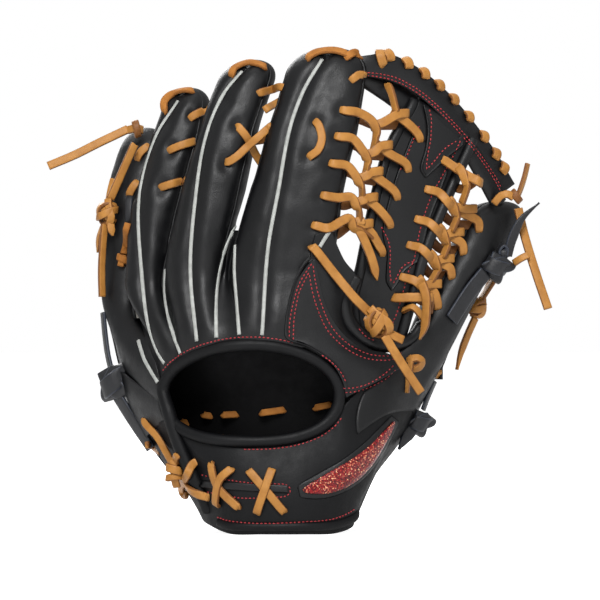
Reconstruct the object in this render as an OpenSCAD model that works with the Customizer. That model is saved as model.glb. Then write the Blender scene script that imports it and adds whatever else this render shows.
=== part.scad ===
// Outfielder's baseball glove, left hand, standing on its heel with the fingers up.
// X runs from the little finger to the thumb, Y from the back of the hand to the pocket, Z up.
// The origin is the middle of the wrist band's lower edge. All sizes are in millimetres.

/* [Leather] */
// Thickness of the shell leather
leather = 2.6; // [2:0.1:3]
// Thickness of the soft lining
lining = 1.6; // [1.2:0.1:2]
// Air left between two layers that lie on each other
layer_gap = 0.5; // [0.4:0.1:0.8]

/* [Fingers] */
// Height of the index finger's tip
index_tip = 304; // [296:1:308]
// Height of the middle finger's tip
middle_tip = 297; // [290:1:302]
// Height of the ring finger's tip
ring_tip = 280; // [274:1:285]
// Height of the little finger's tip
pinky_tip = 255; // [248:1:260]
// Height of the thumb's tip
thumb_tip = 208; // [204:1:212]
// Half width of the index stall at its middle, seen from behind
index_half = 29.5; // [27:0.5:30]
// Half width of the middle stall at its middle, seen from behind
middle_half = 19; // [17:0.5:20]
// Half width of the ring stall at its middle, seen from behind
ring_half = 15.5; // [14:0.5:16]
// Half width of the little stall at its middle, seen from behind
pinky_half = 14; // [13:0.5:15]
// Half width of the thumb stall at its middle, seen from behind
thumb_half = 17.5; // [16:0.5:18.5]
// Thickness of the felt inside each stall
felt = 2; // [1.5:0.5:3]

/* [Palm] */
// Thickness of the felt behind the pocket
palm_felt = 4.5; // [3:0.5:6]
// Thickness of the two heel pads
heel_felt = 11; // [8:0.5:13]

/* [Hand opening] */
// Half width of the opening's rim
rim_half_w = 55; // [53:0.5:56]
// Half height of the opening's rim
rim_half_h = 30; // [27:0.5:31]
// Radius of the rolled binding
rim_r = 4.2; // [3.2:0.1:4.4]

/* [Welting and laces] */
// Width of the welting strips in the finger seams
welt_w = 2.2; // [1.6:0.1:2.8]
// Height that the welting stands proud
welt_h = 1; // [0.6:0.1:1.4]
// Width of the lace
lace_w = 6.2; // [5:0.1:6.6]
// Thickness of the lace
lace_t = 2.2; // [1.6:0.1:2.4]

/* [Web] */
// Thickness of the doubled web leather
web_t = 4; // [3:0.2:4.6]
// Radius of the roll on the web panel's edges
web_roll_r = 2.8; // [2.2:0.1:3]
// Number of lace wraps along the top of the web
edge_wraps = 9; // [7:1:10]

/* [Hidden] */
black = "#2b2b2d";
tan = "#b87c35";
grey = "#c9ccc6";
seam_gap = 0.8;    // between a welting strip and the stall that carries it
section_n = 16;    // facets round a stall
stall_rings = 9;
rim_x = -21;
rim_y = 3;
rim_z = 88;
rim_n = 24;
rim_left_depth = 27;  // how far the rim falls back at the little finger's side
rim_right_depth = 6;

// ---- curves -------------------------------------------------------------------------------

function unit(v) = v / norm(v);
function mix(a, b, k) = a * (1 - k) + b * k;
function span_of(t, z, i = 0) = i >= len(t) - 2 || z < t[i + 1][0] ? i : span_of(t, z, i + 1);
function slope_at(t, i) = let (a = max(i - 1, 0), b = min(i + 1, len(t) - 1)) (t[b] - t[a]) / (t[b][0] - t[a][0]);
// Smooth row of a table at a value of its first column
function smooth(t, z) =
    let (i = span_of(t, z), h = t[i + 1][0] - t[i][0], u = (z - t[i][0]) / h)
    t[i] * (2 * u * u * u - 3 * u * u + 1) + slope_at(t, i) * h * (u * u * u - 2 * u * u + u)
    + t[i + 1] * (3 * u * u - 2 * u * u * u) + slope_at(t, i + 1) * h * (u * u * u - u * u);
function numbered(points) = [for (i = [0 : len(points) - 1]) concat([i / (len(points) - 1)], points[i])];
function without_first(row) = [for (i = [1 : len(row) - 1]) row[i]];
// Point of a smooth line through some points, at a share of its length
function along(points, k) = without_first(smooth(numbered(points), k));
function resampled(points, n) = [for (i = [0 : n]) along(points, i / n)];

// The grid with nothing of it below a height
function grounded(g, floor = 0) = [for (r = g) [for (p = r) [p[0], p[1], max(p[2], floor)]]];
// Point on the middle line of the opening's rim, or outside it by some millimetres
function rim_depth(x) = let (k = (x - rim_x) / rim_half_w)
    rim_y + (k < 0 ? rim_left_depth : rim_right_depth) * k * k;
function rim_point(turn, grow = 0) = let (x = rim_x + (rim_half_w + grow) * cos(turn))
    [x, rim_depth(x), rim_z + (rim_half_h + grow) * sin(turn)];

// ---- solids from rings and grids ----------------------------------------------------------

// Closed solid over rings of equal length, with flat ends
module loft(rings) {
    n = len(rings[0]);
    m = len(rings);
    sides = [for (j = [0 : m - 2]) for (i = [0 : n - 1])
        each [[j * n + i, (j + 1) * n + (i + 1) % n, j * n + (i + 1) % n],
              [j * n + i, (j + 1) * n + i, (j + 1) * n + (i + 1) % n]]];
    low = [for (i = [1 : n - 2]) [0, i, i + 1]];
    high = [for (i = [1 : n - 2]) [(m - 1) * n, (m - 1) * n + i + 1, (m - 1) * n + i]];
    polyhedron([for (r = rings) each r], concat(sides, low, high));
}
// Tube over a closed loop of rings
module loop_loft(rings) {
    n = len(rings[0]);
    m = len(rings);
    polyhedron([for (r = rings) each r],
        [for (j = [0 : m - 1]) for (i = [0 : n - 1]) let (k = (j + 1) % m)
            each [[j * n + i, k * n + (i + 1) % n, j * n + (i + 1) % n],
                  [j * n + i, k * n + i, k * n + (i + 1) % n]]]);
}
function grid_normal(g, j, i) =
    let (m = len(g) - 1, n = len(g[0]) - 1)
    unit(cross(g[j][min(i + 1, n)] - g[j][max(i - 1, 0)], g[min(j + 1, m)][i] - g[max(j - 1, 0)][i]));
// The grid moved along its own normals; depth may differ from row to row
function sunk(g, depths) = [for (j = [0 : len(g) - 1]) [for (i = [0 : len(g[0]) - 1])
    g[j][i] + grid_normal(g, j, i) * (is_list(depths) ? depths[j] : depths)]];
// Closed plate between two grids; near is the side that the normals point away from
module plate(far, near) {
    n = len(far[0]);
    m = len(far);
    rim = concat([for (i = [0 : n - 1]) i], [for (j = [1 : m - 1]) j * n + n - 1],
        [for (i = [n - 2 : -1 : 0]) (m - 1) * n + i], [for (j = [m - 2 : -1 : 1]) j * n]);
    o = n * m;
    skin = [for (j = [0 : m - 2]) for (i = [0 : n - 2]) let (a = j * n + i)
        each [[a, a + n + 1, a + 1], [a, a + n, a + n + 1],
              [o + a, o + a + 1, o + a + n + 1], [o + a, o + a + n + 1, o + a + n]]];
    edge = [for (k = [0 : len(rim) - 1]) let (a = rim[k], b = rim[(k + 1) % len(rim)])
        each [[a, o + b, o + a], [a, b, o + b]]];
    polyhedron(concat([for (r = far) each r], [for (r = near) each r]), concat(skin, edge));
}
// A net of control lines filled in smoothly both ways
function filled(net, rows, columns) =
    let (lines = [for (line = net) resampled(line, rows)])
    [for (j = [0 : rows]) resampled([for (line = lines) line[j]], columns)];
function part_of(g, j0, j1, i0, i1) = [for (j = [j0 : j1]) [for (i = [i0 : i1]) g[j][i]]];

// ---- finger stalls ------------------------------------------------------------------------

// Rows of [height, x, y, half width, half depth] from a stall's foot to its tip
function stall(foot, tip, xs, ys, half, widths, depths) =
    [for (i = [0 : 4]) [foot + (tip - foot) * i / 4, xs[i], ys[i], half * widths[i], depths[i]]];

index_foot = 124;
middle_foot = 120;
ring_foot = 111;
pinky_foot = 101;
thumb_foot = 103;
index_path = stall(index_foot, index_tip, [-1, -1, 6, 19, 29], [26, 24, 26, 32, 44],
    index_half, [1.08, 1.04, 1, 0.9, 0.8], [15, 16, 16, 15, 12]);
middle_path = stall(middle_foot, middle_tip, [-56, -57, -46, -34, -21], [34, 38, 42, 49, 62],
    middle_half, [0.75, 0.92, 1, 0.97, 0.85], [13, 15, 16, 15, 12]);
ring_path = stall(ring_foot, ring_tip, [-82, -87, -82, -71, -61], [54, 64, 73, 80, 92],
    ring_half, [0.74, 0.86, 1, 1, 0.86], [12, 14, 15, 14, 11]);
pinky_path = stall(pinky_foot, pinky_tip, [-95, -102, -101, -96, -89], [76, 92, 102, 108, 116],
    pinky_half, [0.75, 0.88, 1, 1.04, 0.86], [9, 11, 13, 13, 10]);
thumb_path = stall(thumb_foot, thumb_tip, [86, 97, 110, 128.5, 144.5], [58, 65, 73, 82, 92],
    thumb_half, [0.86, 0.86, 0.88, 0.95, 0.82], [12, 13, 13, 13, 10]);
// Turns of the opening's rim between which each stall's back is sewn
index_hem = [112, 58];
middle_hem = [133, 113];
ring_hem = [158, 134];
pinky_hem = [186, 159];
index_yaw = 6;
middle_yaw = 26;
ring_yaw = 38;
pinky_yaw = 45;
thumb_yaw = -45;
dome_h = 20; // height of a stall's rounded tip

// How far the section has closed over the tip, from 1 to 0
function dome(tip, z) = let (k = (z - tip + dome_h) / dome_h) k <= 0 ? 1 : sqrt(max(0, 1 - k * k));
// Heights of a stall's rings, closer together over the tip
function heights(foot, tip) = concat(
    [for (i = [0 : stall_rings - 5]) foot + (tip - dome_h - foot) * i / (stall_rings - 5)],
    [for (k = [0.4, 0.7, 0.9, 0.985]) tip - dome_h + dome_h * k]);
// Centre, half width along the section, half depth
function section_at(path, yaw, z, tip) =
    let (r = smooth(path, min(z, path[len(path) - 1][0])), d = r[4] * dome(tip, z), h = r[3] * dome(tip, z))
    [[r[1], r[2]], sqrt(max(h * h - pow(d * sin(yaw), 2), 0.3 * h * h)) / cos(yaw), d];
// Point of a section grown by some millimetres; 90 degrees faces the pocket
function skin_point(path, yaw, z, tip, grow, turn) =
    let (s = section_at(path, yaw, z, tip), a = max(s[1] + grow, 0.4), b = max(s[2] + grow, 0.4))
    [s[0][0] + a * cos(turn) * cos(yaw) + b * sin(turn) * sin(yaw),
     s[0][1] - a * cos(turn) * sin(yaw) + b * sin(turn) * cos(yaw), z];
function skin_ring(path, yaw, z, tip, grow) =
    [for (i = [0 : section_n - 1]) skin_point(path, yaw, z, tip, grow, i * 360 / section_n)];

// Ring of the skirt below a stall's foot: its back half runs down to the rim, between two turns of it
function skirt_ring(path, yaw, grow, share, left, right) =
    let (foot = path[0][0], tip = path[len(path) - 1][0])
    [for (i = [0 : section_n - 1]) let (
        turn = i * 360 / section_n,
        p = skin_point(path, yaw, foot, tip, grow, turn),
        k = (turn - 180) / 180,
        r = rim_point(left + (right - left) * k, rim_r + 0.7) - [0, grow / 2 + 1.2, 0])
        k <= 0 ? p - [0, 0, 2 * share] : mix(p, r, share)];
// Hollow stall, closed over the fingertip and open at its foot
module hollow_stall(path, yaw, hem = []) {
    foot = path[0][0];
    tip = path[len(path) - 1][0];
    shares = len(hem) > 0 ? [1, 0.5] : [];
    outer = concat([for (s = shares) skirt_ring(path, yaw, 0, s, hem[0], hem[1])],
        [for (z = heights(foot, tip)) skin_ring(path, yaw, z, tip, 0)]);
    inner = concat([for (s = shares) skirt_ring(path, yaw, -leather, s, hem[0], hem[1])],
        [for (z = heights(foot, tip - leather)) skin_ring(path, yaw, z, tip, -leather)]);
    n = section_n;
    m = len(outer);
    o = n * m;
    wall = [for (j = [0 : m - 2]) for (i = [0 : n - 1]) let (a = j * n + i, b = j * n + (i + 1) % n)
        each [[a, b + n, b], [a, a + n, b + n], [o + a, o + b, o + b + n], [o + a, o + b + n, o + a + n]]];
    foot_ring = [for (i = [0 : n - 1]) let (k = (i + 1) % n) each [[i, o + k, o + i], [i, k, o + k]]];
    caps = [for (i = [1 : n - 2]) let (t = (m - 1) * n)
        each [[t, t + i + 1, t + i], [o + t, o + t + i, o + t + i + 1]]];
    polyhedron(concat([for (r = outer) each r], [for (r = inner) each r]), concat(wall, foot_ring, caps));
}
// A band of a stall's skin between two turns and two depths
module skin_band(path, yaw, zs, tip, low, high, from, to, steps) {
    function band(grow) = [for (z = zs) [for (i = [0 : steps])
        skin_point(path, yaw, z, tip, grow, from + (to - from) * i / steps)]];
    plate(band(high), band(low));
}
// The point on a stall's back at a place seen from behind, lifted off it
function on_back(path, yaw, x, z, grow) =
    let (tip = path[len(path) - 1][0], s = section_at(path, yaw, z, tip),
        a = s[1] * cos(yaw), b = s[2] * sin(yaw), h = sqrt(a * a + b * b),
        k = max(-0.97, min(0.97, (x - s[0][0]) / h)))
    skin_point(path, yaw, z, tip, grow, atan2(b, a) - acos(k));
module stall_felt(path, yaw) {
    tip = path[len(path) - 1][0];
    zs = [for (z = heights(path[0][0], tip)) if (z < tip - dome_h + 1) z];
    skin_band(path, yaw, zs, tip, -leather - layer_gap - felt, -leather - layer_gap, -130, -50, 4);
}
// Welting strip up a stall's back, through rows of [height, x] seen from behind
module welt(path, yaw, rows, steps = 8) {
    loft([for (i = [0 : steps]) let (
        z = mix(rows[0][0], rows[len(rows) - 1][0], i / steps),
        x = smooth(rows, z)[1],
        p = on_back(path, yaw, x, z, seam_gap),
        q = on_back(path, yaw, x, z, seam_gap + 2),
        out = unit(q - p),
        side = unit(cross([0, 0, 1], out)) * welt_w / 2)
        [p - side, p - side + out * welt_h, p + side + out * welt_h, p + side]]);
}

// ---- palm ---------------------------------------------------------------------------------

front_out = layer_gap + leather;
// Point on the pocket face of a finger's front, a little above the stall's foot
function root(path, yaw, turn, more = 0) =
    skin_point(path, yaw, path[0][0] + 2.5, path[len(path) - 1][0], front_out + more, turn);
// Control lines from the heel to the finger roots, little finger to thumb, on the pocket face
palm_net = [
    [[-45, 88, 4], [-65, 96, 30], [-83, 99, 56], [-94, 98, 80], root(pinky_path, pinky_yaw, 157.5, 0.4)],
    [[-36, 86, 2], [-54, 89, 30], [-69, 90, 58], [-79, 89, 82], root(pinky_path, pinky_yaw, 90, 0.4)],
    [[-22, 82, 0.8], [-36, 79, 32], [-50, 75, 62], [-62, 71, 90], root(ring_path, ring_yaw, 90)],
    [[-6, 79, 0.2], [-16, 70, 34], [-27, 61, 66], [-38, 54, 97], root(middle_path, middle_yaw, 90)],
    [[12, 78, 0], [10, 65, 34], [7, 54, 67], [3, 47, 100], root(index_path, index_yaw, 101, 2)],
    [[24, 79, 0.2], [28, 66, 32], [30, 56, 64], [31, 48, 96], root(index_path, index_yaw, 50, 2)],
    [[32, 81, 0.6], [40, 71, 28], [48, 61, 56], [53, 52, 85], [56, 49, 113]],
    [[38, 84, 1.2], [47, 80, 27], [58, 75, 54], [69, 71, 81], root(thumb_path, thumb_yaw, 90, 1.6)],
    [[41, 88, 2], [49.5, 90, 26], [62, 91, 50], [79, 88, 75], root(thumb_path, thumb_yaw, 22.5, 1.6)]];
palm_rows = 10;
palm_columns = 16;
palm_grid = grounded(filled(palm_net, palm_rows, palm_columns));
palm_top = palm_rows - 2;   // last row with felt and lining
heel_rows = 3;
fold_column = 9;            // the pads stop here, so the thumb side can fold
// Felt thickness behind each row: thick at the heel and thin in the pocket
function felt_at(j) = mix(heel_felt, palm_felt, min(1, max(0, (j / palm_rows - 0.2) / 0.2)));
// The layers behind the palm leather, down to some depth past the felt
function layer(more, felt_share = 1, floor = 0.4) = grounded(
    sunk(palm_grid, [for (j = [0 : palm_rows]) leather + more + felt_share * felt_at(j)]), floor);
pad_face = layer(layer_gap, 0);
pad_back = layer(layer_gap);
lining_face = layer(2 * layer_gap);
lining_back = layer(2 * layer_gap + lining);

// Pocket-side leather of a finger, between two facet edges of its stall
module finger_front(path, yaw, from, to) {
    tip = path[len(path) - 1][0];
    zs = [for (z = heights(path[0][0], tip)) if (z < tip - 3) z];
    facet = 360 / section_n;
    skin_band(path, yaw, zs, tip, layer_gap, front_out, from * facet, to * facet, to - from);
}
module palm_leather() {
    color(black) {
        plate(grounded(sunk(palm_grid, leather)), palm_grid);
        finger_front(index_path, index_yaw, 1, 7);
        finger_front(middle_path, middle_yaw, 1, 7);
        finger_front(ring_path, ring_yaw, 1, 7);
        finger_front(pinky_path, pinky_yaw, 1, 7);
        finger_front(thumb_path, thumb_yaw, 1, 7);
    }
}
module pad(j0, j1, i0, i1) {
    color("#8f8a80") plate(part_of(pad_back, j0, j1, i0, i1), part_of(pad_face, j0, j1, i0, i1));
}
module palm_lining() {
    color("#1d1d1f") plate(part_of(lining_back, 0, palm_top, 3, palm_columns - 4),
        part_of(lining_face, 0, palm_top, 3, palm_columns - 4));
}

// ---- back of the hand ---------------------------------------------------------------------

module opening_binding() {
    color(black) loop_loft([for (k = [0 : rim_n - 1]) let (
        turn = k * 360 / rim_n,
        out = unit([rim_half_h * cos(turn), 0, rim_half_w * sin(turn)]))
        [for (i = [0 : 7]) rim_point(turn) + rim_r * (cos(i * 45) * out + sin(i * 45) * [0, 1, 0])]]);
}
rim_out = rim_r + 2.6;
band_half = leather / 2;    // the origin is the middle of the band's lower edge
// Band round the wrist and up the thumb side, control lines from its lower edge upward
band_net = [
    [[-44, 83, 5], [-58, 88, 22], [-72, 92, 38], [-84, 94, 54]],
    [[-52, 56, 9], [-63, 58, 26], [-75, 60, 42], [-85, 62, 60]],
    [[-49, 28, 6], [-57, 29, 28], [-66, 29, 50], rim_point(205, rim_out)],
    [[-34, 6, 0], [-40, 5, 22], [-46, 8, 41], rim_point(235, rim_out)],
    [[-14, -band_half, 0], [-18, -3, 18], [-22, -2, 36], rim_point(265, rim_out)],
    [[12, -band_half, 0], [9, -4, 20], [6, -2, 38], rim_point(295, rim_out)],
    [[30, 8, 0], [30, 4, 24], [28, 3, 45], rim_point(322, rim_out)],
    [[42, 22, 4], [44, 14, 32], [42, 8, 56], rim_point(348, rim_out)],
    [[43.5, 36, 10], [56, 28, 40], [62, 24, 68], [60, 26, 95]],
    [[44.5, 48, 12], [58.5, 44, 42], [74, 42, 70], [80, 40, 98]],
    [[46.8, 58, 11], [60.5, 56, 40], [78, 54, 68], [95, 51, 99]],
    [[44.5, 70, 7], [56, 72, 33], [75, 72, 59], [98, 66, 98]],
    [[41.5, 77.5, 4], [52, 79, 26], [66.5, 80, 52], [92, 76.5, 91]]];
band_rows = 6;
band_columns = 20;
band_grid = grounded(filled(band_net, band_rows, band_columns));
// Point of the band at a share of its height and length, lifted off it
function band_at(v, u, lift) =
    let (j = v * band_rows, i = u * band_columns, j0 = min(floor(j), band_rows - 1), i0 = min(floor(i), band_columns - 1))
    mix(mix(band_grid[j0][i0], band_grid[j0][i0 + 1], i - i0),
        mix(band_grid[j0 + 1][i0], band_grid[j0 + 1][i0 + 1], i - i0), j - j0)
    + grid_normal(band_grid, j0, i0) * lift;
band_inside = [for (j = [0 : band_rows]) [for (i = [0 : band_columns]) let (
    p = band_grid[j][i] - grid_normal(band_grid, j, i) * leather)
    j == 0 ? [p[0], p[1], band_grid[0][i][2]] : p]];
module wrist_band() {
    color(black) plate(band_grid, band_inside);
}
module wrist_fleece() {
    face = sunk(band_grid, -leather - layer_gap);
    color("#151517") plate(part_of(face, 1, 5, 4, 11), part_of(sunk(face, -3), 1, 5, 4, 11));
}
// Roll of leather down the edge of the overlapping strap, and one along the band's lower edge
module overlap_roll() {
    r = rim_r - 1;
    color(black) tube_along([for (k = [0 : 6]) band_at(0.92 - 0.12 * k, 0.165, r + 0.7)], r, 8);
}
module band_roll() {
    r = rim_r / 2;
    color(black) tube_along([for (k = [0 : 8]) band_at(0.1, 0.24 + 0.04 * k, r + 1.4)], r, 8);
}
// Plain raised leaf shape on the band
module wrist_patch() {
    leaf = [for (j = [-1 : 1]) [for (i = [0 : 6])
        band_at(0.38 + 0.05 * i + j * (0.03 + 0.13 * sin(i * 30)), 0.45 + 0.044 * i, 1.6)]];
    color("#9c1f2b") plate(sunk(leaf, 1.4), leaf);
}
back_net = [
    [rim_point(3, rim_out) + [1.3, -0.5, 0], rim_point(29, rim_out) + [-2, -3.8, 0],
        rim_point(56, rim_out) + [-1.6, -2.4, 4.5], [5, 4, 150], [11, 4.5, 174]],
    [rim_point(3, rim_out) + [17, 10, 9], rim_point(29, rim_out) + [14, 4, 5],
        rim_point(56, rim_out) + [14, 1.5, 6], [20, 6, 148], [20, 6, 172]],
    [rim_point(3, rim_out) + [33, 23, 16], [58, 25, 111], [40, 17, 123], [32, 14.5, 144], [30, 9, 167]]];
back_grid = filled(back_net, 8, 4);
module back_panel() {
    color(black) plate(back_grid, sunk(back_grid, -leather));
}
pinky_net = [
    [[-86, 94, 57], [-94, 94, 72], [-99, 91, 85], [-103, 85, 97]],
    [[-86.5, 62, 63], [-91, 62, 74], [-94, 61, 84], [-96, 62, 92]],
    [rim_point(205, rim_out) + [-1, 1, 3], [-78, 31, 79], [-79, 31, 81], [-80, 33, 83]]];
pinky_grid = filled(pinky_net, 5, 6);
module pinky_panel() {
    color(black) plate(pinky_grid, sunk(pinky_grid, -leather));
}

// Strip of leather in the valley between two stalls' backs, from one height to another
module gusset(left, left_yaw, right, right_yaw, low, high, sag) {
    function side(path, yaw, z, turn, more) = skin_point(path, yaw, z, path[len(path) - 1][0], gusset_gap + more, turn);
    function face(more) = [for (k = [0 : 5]) let (
        z = mix(low, high, k / 5),
        a = side(left, left_yaw, z, gusset_turns[0], more),
        b = side(right, right_yaw, z, gusset_turns[1], more))
        [a, mix(a, b, 0.5) + [0, sag, 0], b]];
    plate(face(gusset_t), face(0));
}
gusset_gap = 0.6;
gusset_t = 1.4;
gusset_turns = [312, 232];
module finger_gussets() {
    color(black) {
        gusset(pinky_path, pinky_yaw, ring_path, ring_yaw, 150, 222, 0.4);
        gusset(ring_path, ring_yaw, middle_path, middle_yaw, 165, 206, 0.4);
        gusset(middle_path, middle_yaw, index_path, index_yaw, 166, 190, 0.4);
    }
}

// ---- web ----------------------------------------------------------------------------------

// Control lines down the web panel: index edge, middle, thumb edge
web_net = [
    [[48, 41, 121], [45, 40, 145], [49.5, 38, 163], [53.5, 39, 185], [59, 42, 212], [68, 47, 240], [82, 53, 266]],
    [[58, 44, 117], [59, 43, 141], [63, 42, 158], [68, 43, 180], [76, 46, 205], [86, 51, 230], [98, 58, 254]],
    [[68, 47, 116], [74, 47, 137], [79, 47, 154], [85, 49, 176], [94, 53, 198], [104, 58, 221], [113, 63, 242]]];
web_rows = 12;
web_grid = filled(web_net, web_rows, 6);
module web_panel() {
    color(black) plate(sunk(web_grid, web_t), web_grid);
}
module web_tongue(j0, j1, i0, i1) {
    near = part_of(web_grid, j0, j1, i0, i1);
    plate(sunk(near, web_t + tongue_gap + tongue_t), sunk(near, web_t + tongue_gap));
}
tongue_gap = 0.4;
tongue_t = 1.2;
// Overlays of thin leather on the web panel, at its top and over its middle
module web_tongues() {
    color(black) {
        web_tongue(web_rows - 3, web_rows, 2, 4);
        web_tongue(3, 7, 2, 4);
    }
}
module tube_along(points, r, n = 6) {
    m = len(points) - 1;
    loft([for (j = [0 : m]) let (
        t = unit(points[min(j + 1, m)] - points[max(j - 1, 0)]),
        a = unit(cross(t, [0, 1, 0.2])),
        b = cross(t, a))
        [for (i = [0 : n - 1]) points[j] + r * (cos(i * 360 / n) * a + sin(i * 360 / n) * b)]]);
}
roll_out = web_roll_r + 1.6;
module web_panel_roll() {
    color(black) {
        tube_along([for (j = [0 : web_rows]) web_grid[j][0] + [-roll_out, -web_t / 2, 0]], web_roll_r);
        tube_along([for (j = [0 : web_rows]) web_grid[j][6] + [roll_out, -web_t / 2, 0]], web_roll_r);
    }
}
// Control lines of the top band: inner edge, then outer edge, index finger to thumb
top_net = [
    [[50, 47, 281], [71, 57, 276], [91, 65, 262], [111, 76, 241], [129, 87, 220.5], [138, 93, 209]],
    [[50, 46, 297], [64, 51, 298], [84, 60, 289], [105.5, 73, 270.5], [130, 87, 242], [147, 96, 220]]];
top_columns = 14;
top_lines = [for (l = top_net) resampled(l, top_columns)];
top_grid = [for (k = [0 : 3]) [for (i = [0 : top_columns]) mix(top_lines[0][i], top_lines[1][i], k / 3)]];
module web_top_band() {
    color(black) plate(sunk(top_grid, web_t), top_grid);
}
cross_left = [[53, 53, 278], [62, 57.5, 274], [72, 63, 267]];
cross_right = [[113, 69, 236], [121, 74, 225], [129, 79, 214]];
module web_cross_bars() {
    color(black) {
        tube_along(resampled(cross_left, 4), 4.6, 8);
        tube_along(resampled(cross_right, 4), 4.6, 8);
    }
}
roll_path = [[25, 6, 180], [34, 11, 170], [43, 18, 159], [39, 22, 149], [37.5, 23, 138], [41, 26, 128.5],
    [50, 30, 120.5], [61, 34, 116], [72, 39, 117]];
module crotch_roll() {
    color(black) tube_along(resampled(roll_path, 14), 3.4, 8);
}

// ---- laces --------------------------------------------------------------------------------

// Flat strap through some points; out is the way its broad face looks
module strap(points, out, w = lace_w, t = lace_t) {
    m = len(points) - 1;
    loft([for (j = [0 : m]) let (
        d = unit(points[min(j + 1, m)] - points[max(j - 1, 0)]),
        a = unit(cross(d, out)) * w / 2,
        b = unit(cross(a, d)) * t / 2)
        [points[j] - a - b, points[j] - a + b, points[j] + a + b, points[j] + a - b]]);
}
module lace(points, out, steps = 6) { strap(resampled(points, steps), out); }
lift = lace_t / 2 + 0.35;
function index_back(x, z) = on_back(index_path, index_yaw, x, z, lift);
function middle_back(x, z) = on_back(middle_path, middle_yaw, x, z, lift);
function ring_back(x, z) = on_back(ring_path, ring_yaw, x, z, lift);
function pinky_back(x, z) = on_back(pinky_path, pinky_yaw, x, z, lift);
function index_hole(k) = let (z = 264 - 18 * k) index_back(36 - 4.4 * k, z);
function panel_hole(k, right = 0) =
    web_grid[web_rows - 2 - floor(1.3 * k)][right ? 5 : 1] - [0, web_t + lift + 0.4, 0];
function lattice_node(k) = mix(index_hole(k), panel_hole(k), 0.42) + [0, -1, 0];
module web_lace_index() {
    color(tan) {
        for (k = [0 : 4]) {
            z = 264 - 18 * k;
            x = 36 - 4.4 * k;
            strap([index_back(x - 1, z + 1), index_back(x + 4, z - 2) - [0, 0.5, 0], index_back(x + 9, z - 5) - [0, 2.4, 0],
                lattice_node(k) + [2, 0, -4], panel_hole(k)], [0.3, -1, 0.2]);
        }
        for (k = [0 : 3]) {
            lace([lattice_node(k) + [5, 3.6, -6], lattice_node(k + 1) + [5, 3.6, 1]], [-1, -0.6, 0], 2);
        }
    }
}
function thumb_back(x, z, grow = lift) = on_back(thumb_path, thumb_yaw, x, z, grow);
// Where the thumb's lacing passes the web's edge, and the thumb's inner edge
function web_edge(k) = web_grid[web_rows - 2 - floor(1.3 * k)][6];
function thumb_edge(k) = mix([122, 74, 217], [95, 54, 152], k / 4);
module web_lace_thumb() {
    color(tan) for (k = [0 : 4]) {
        over = web_edge(k) + [roll_out, -web_t - 6.5, -1];
        strap([panel_hole(k, 1) + [0, -0.5, 2], over - [5, 1.2, -1], over + [1, -0.4, 0], over + [6, 2, -1],
            thumb_edge(k) - [5, 3, 0]], [0.3, -1, 0.2]);
        if (k < 4) lace([over + [11, 7, -3], web_edge(k + 1) + [roll_out + 9, 1, 7]], [-1, -0.6, 0], 2);
    }
}
// One wrap over the top band's edge, at a share of its length
module edge_wrap(u) {
    i = floor(u * top_columns);
    p = mix(top_lines[1][i], top_lines[1][i + 1], u * top_columns - i);
    q = mix(top_lines[0][i], top_lines[0][i + 1], u * top_columns - i);
    n = grid_normal(top_grid, 2, i);
    up = unit(p - q);
    low = p - up * 8;
    g = lace_t / 2 + 1.5;
    along = unit(top_lines[1][i + 1] - top_lines[1][i]) * lace_w / 2;
    path = [low + n * (web_t + g), p + n * (web_t + g) + up * 2, p + n * web_t / 2 + up * (g + 1),
        p - n * g + up * 2, low - n * g];
    outs = [n, n + up, up, up - n, -n];
    loft([for (k = [0 : 4]) let (b = unit(outs[k]) * lace_t / 2)
        [path[k] - along - b, path[k] - along + b, path[k] + along + b, path[k] + along - b]]);
}
module web_edge_lace() {
    color(tan) for (k = [0 : edge_wraps - 1]) edge_wrap(0.16 + 0.74 * k / (edge_wraps - 1));
}
// Lace lying on a stall's back between two places seen from behind
module back_lace(path, yaw, from, to, steps = 3, more = 0.6) {
    ps = [for (i = [0 : steps]) let (q = mix(from, to, i / steps)) on_back(path, yaw, q[0], q[1], lift + more)];
    strap(ps, unit(on_back(path, yaw, (from[0] + to[0]) / 2, (from[1] + to[1]) / 2, 9) - ps[floor(steps / 2)]));
}
module fingertip_laces() {
    color(tan) {
        back_lace(ring_path, ring_yaw, [-76, 262], [-62, 270], 4, 2);
        back_lace(middle_path, middle_yaw, [-34, 283], [-16, 288], 5, 2.4);
        back_lace(index_path, index_yaw, [14, 294], [41, 295], 6, 3);
    }
}
module finger_laces() {
    color(tan) {
        back_lace(ring_path, ring_yaw, [-73, 239], [-60, 243]);
        back_lace(ring_path, ring_yaw, [-78, 214], [-67, 219]);
        back_lace(middle_path, middle_yaw, [-31, 270], [-16, 274]);
        back_lace(middle_path, middle_yaw, [-38, 229], [-26, 245]);
        back_lace(index_path, index_yaw, [-14, 232], [-7, 244]);
        back_lace(index_path, index_yaw, [18, 257], [26, 247]);
        back_lace(index_path, index_yaw, [25, 243], [15, 234]);
    }
}
// One crossing of the wrist lace, round a place on the band
module wrist_cross(v, u) {
    for (s = [-1, 1]) strap([for (k = [-1 : 0.5 : 1]) band_at(v + 0.2 * k, u + 0.014 * k * s, lift + 1.8 + (s + 1) * 1.6)],
        [0, -1, 0]);
}
module wrist_lace() {
    color(tan) {
        wrist_cross(0.5, 0.208);
        wrist_cross(0.5, 0.28);
        wrist_cross(0.5, 0.355);
    }
}
module knot(at, r = 6.5, c = tan) { color(c) translate(at) scale([1, 0.9, 1.1]) sphere(r = r, $fn = 8); }
// Black strap and knot beside the little finger's heel
module pinky_strap() {
    color(black) strap([[-110, 82, 88], [-103, 76, 75], band_at(0.97, 0.055, 5.5), band_at(0.72, 0.065, 5.5)],
        [-0.8, -0.6, 0.2], 11, 2.6);
}
module pinky_strap_knot() {
    knot([-113, 82, 97], 7.5, black);
}
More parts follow.
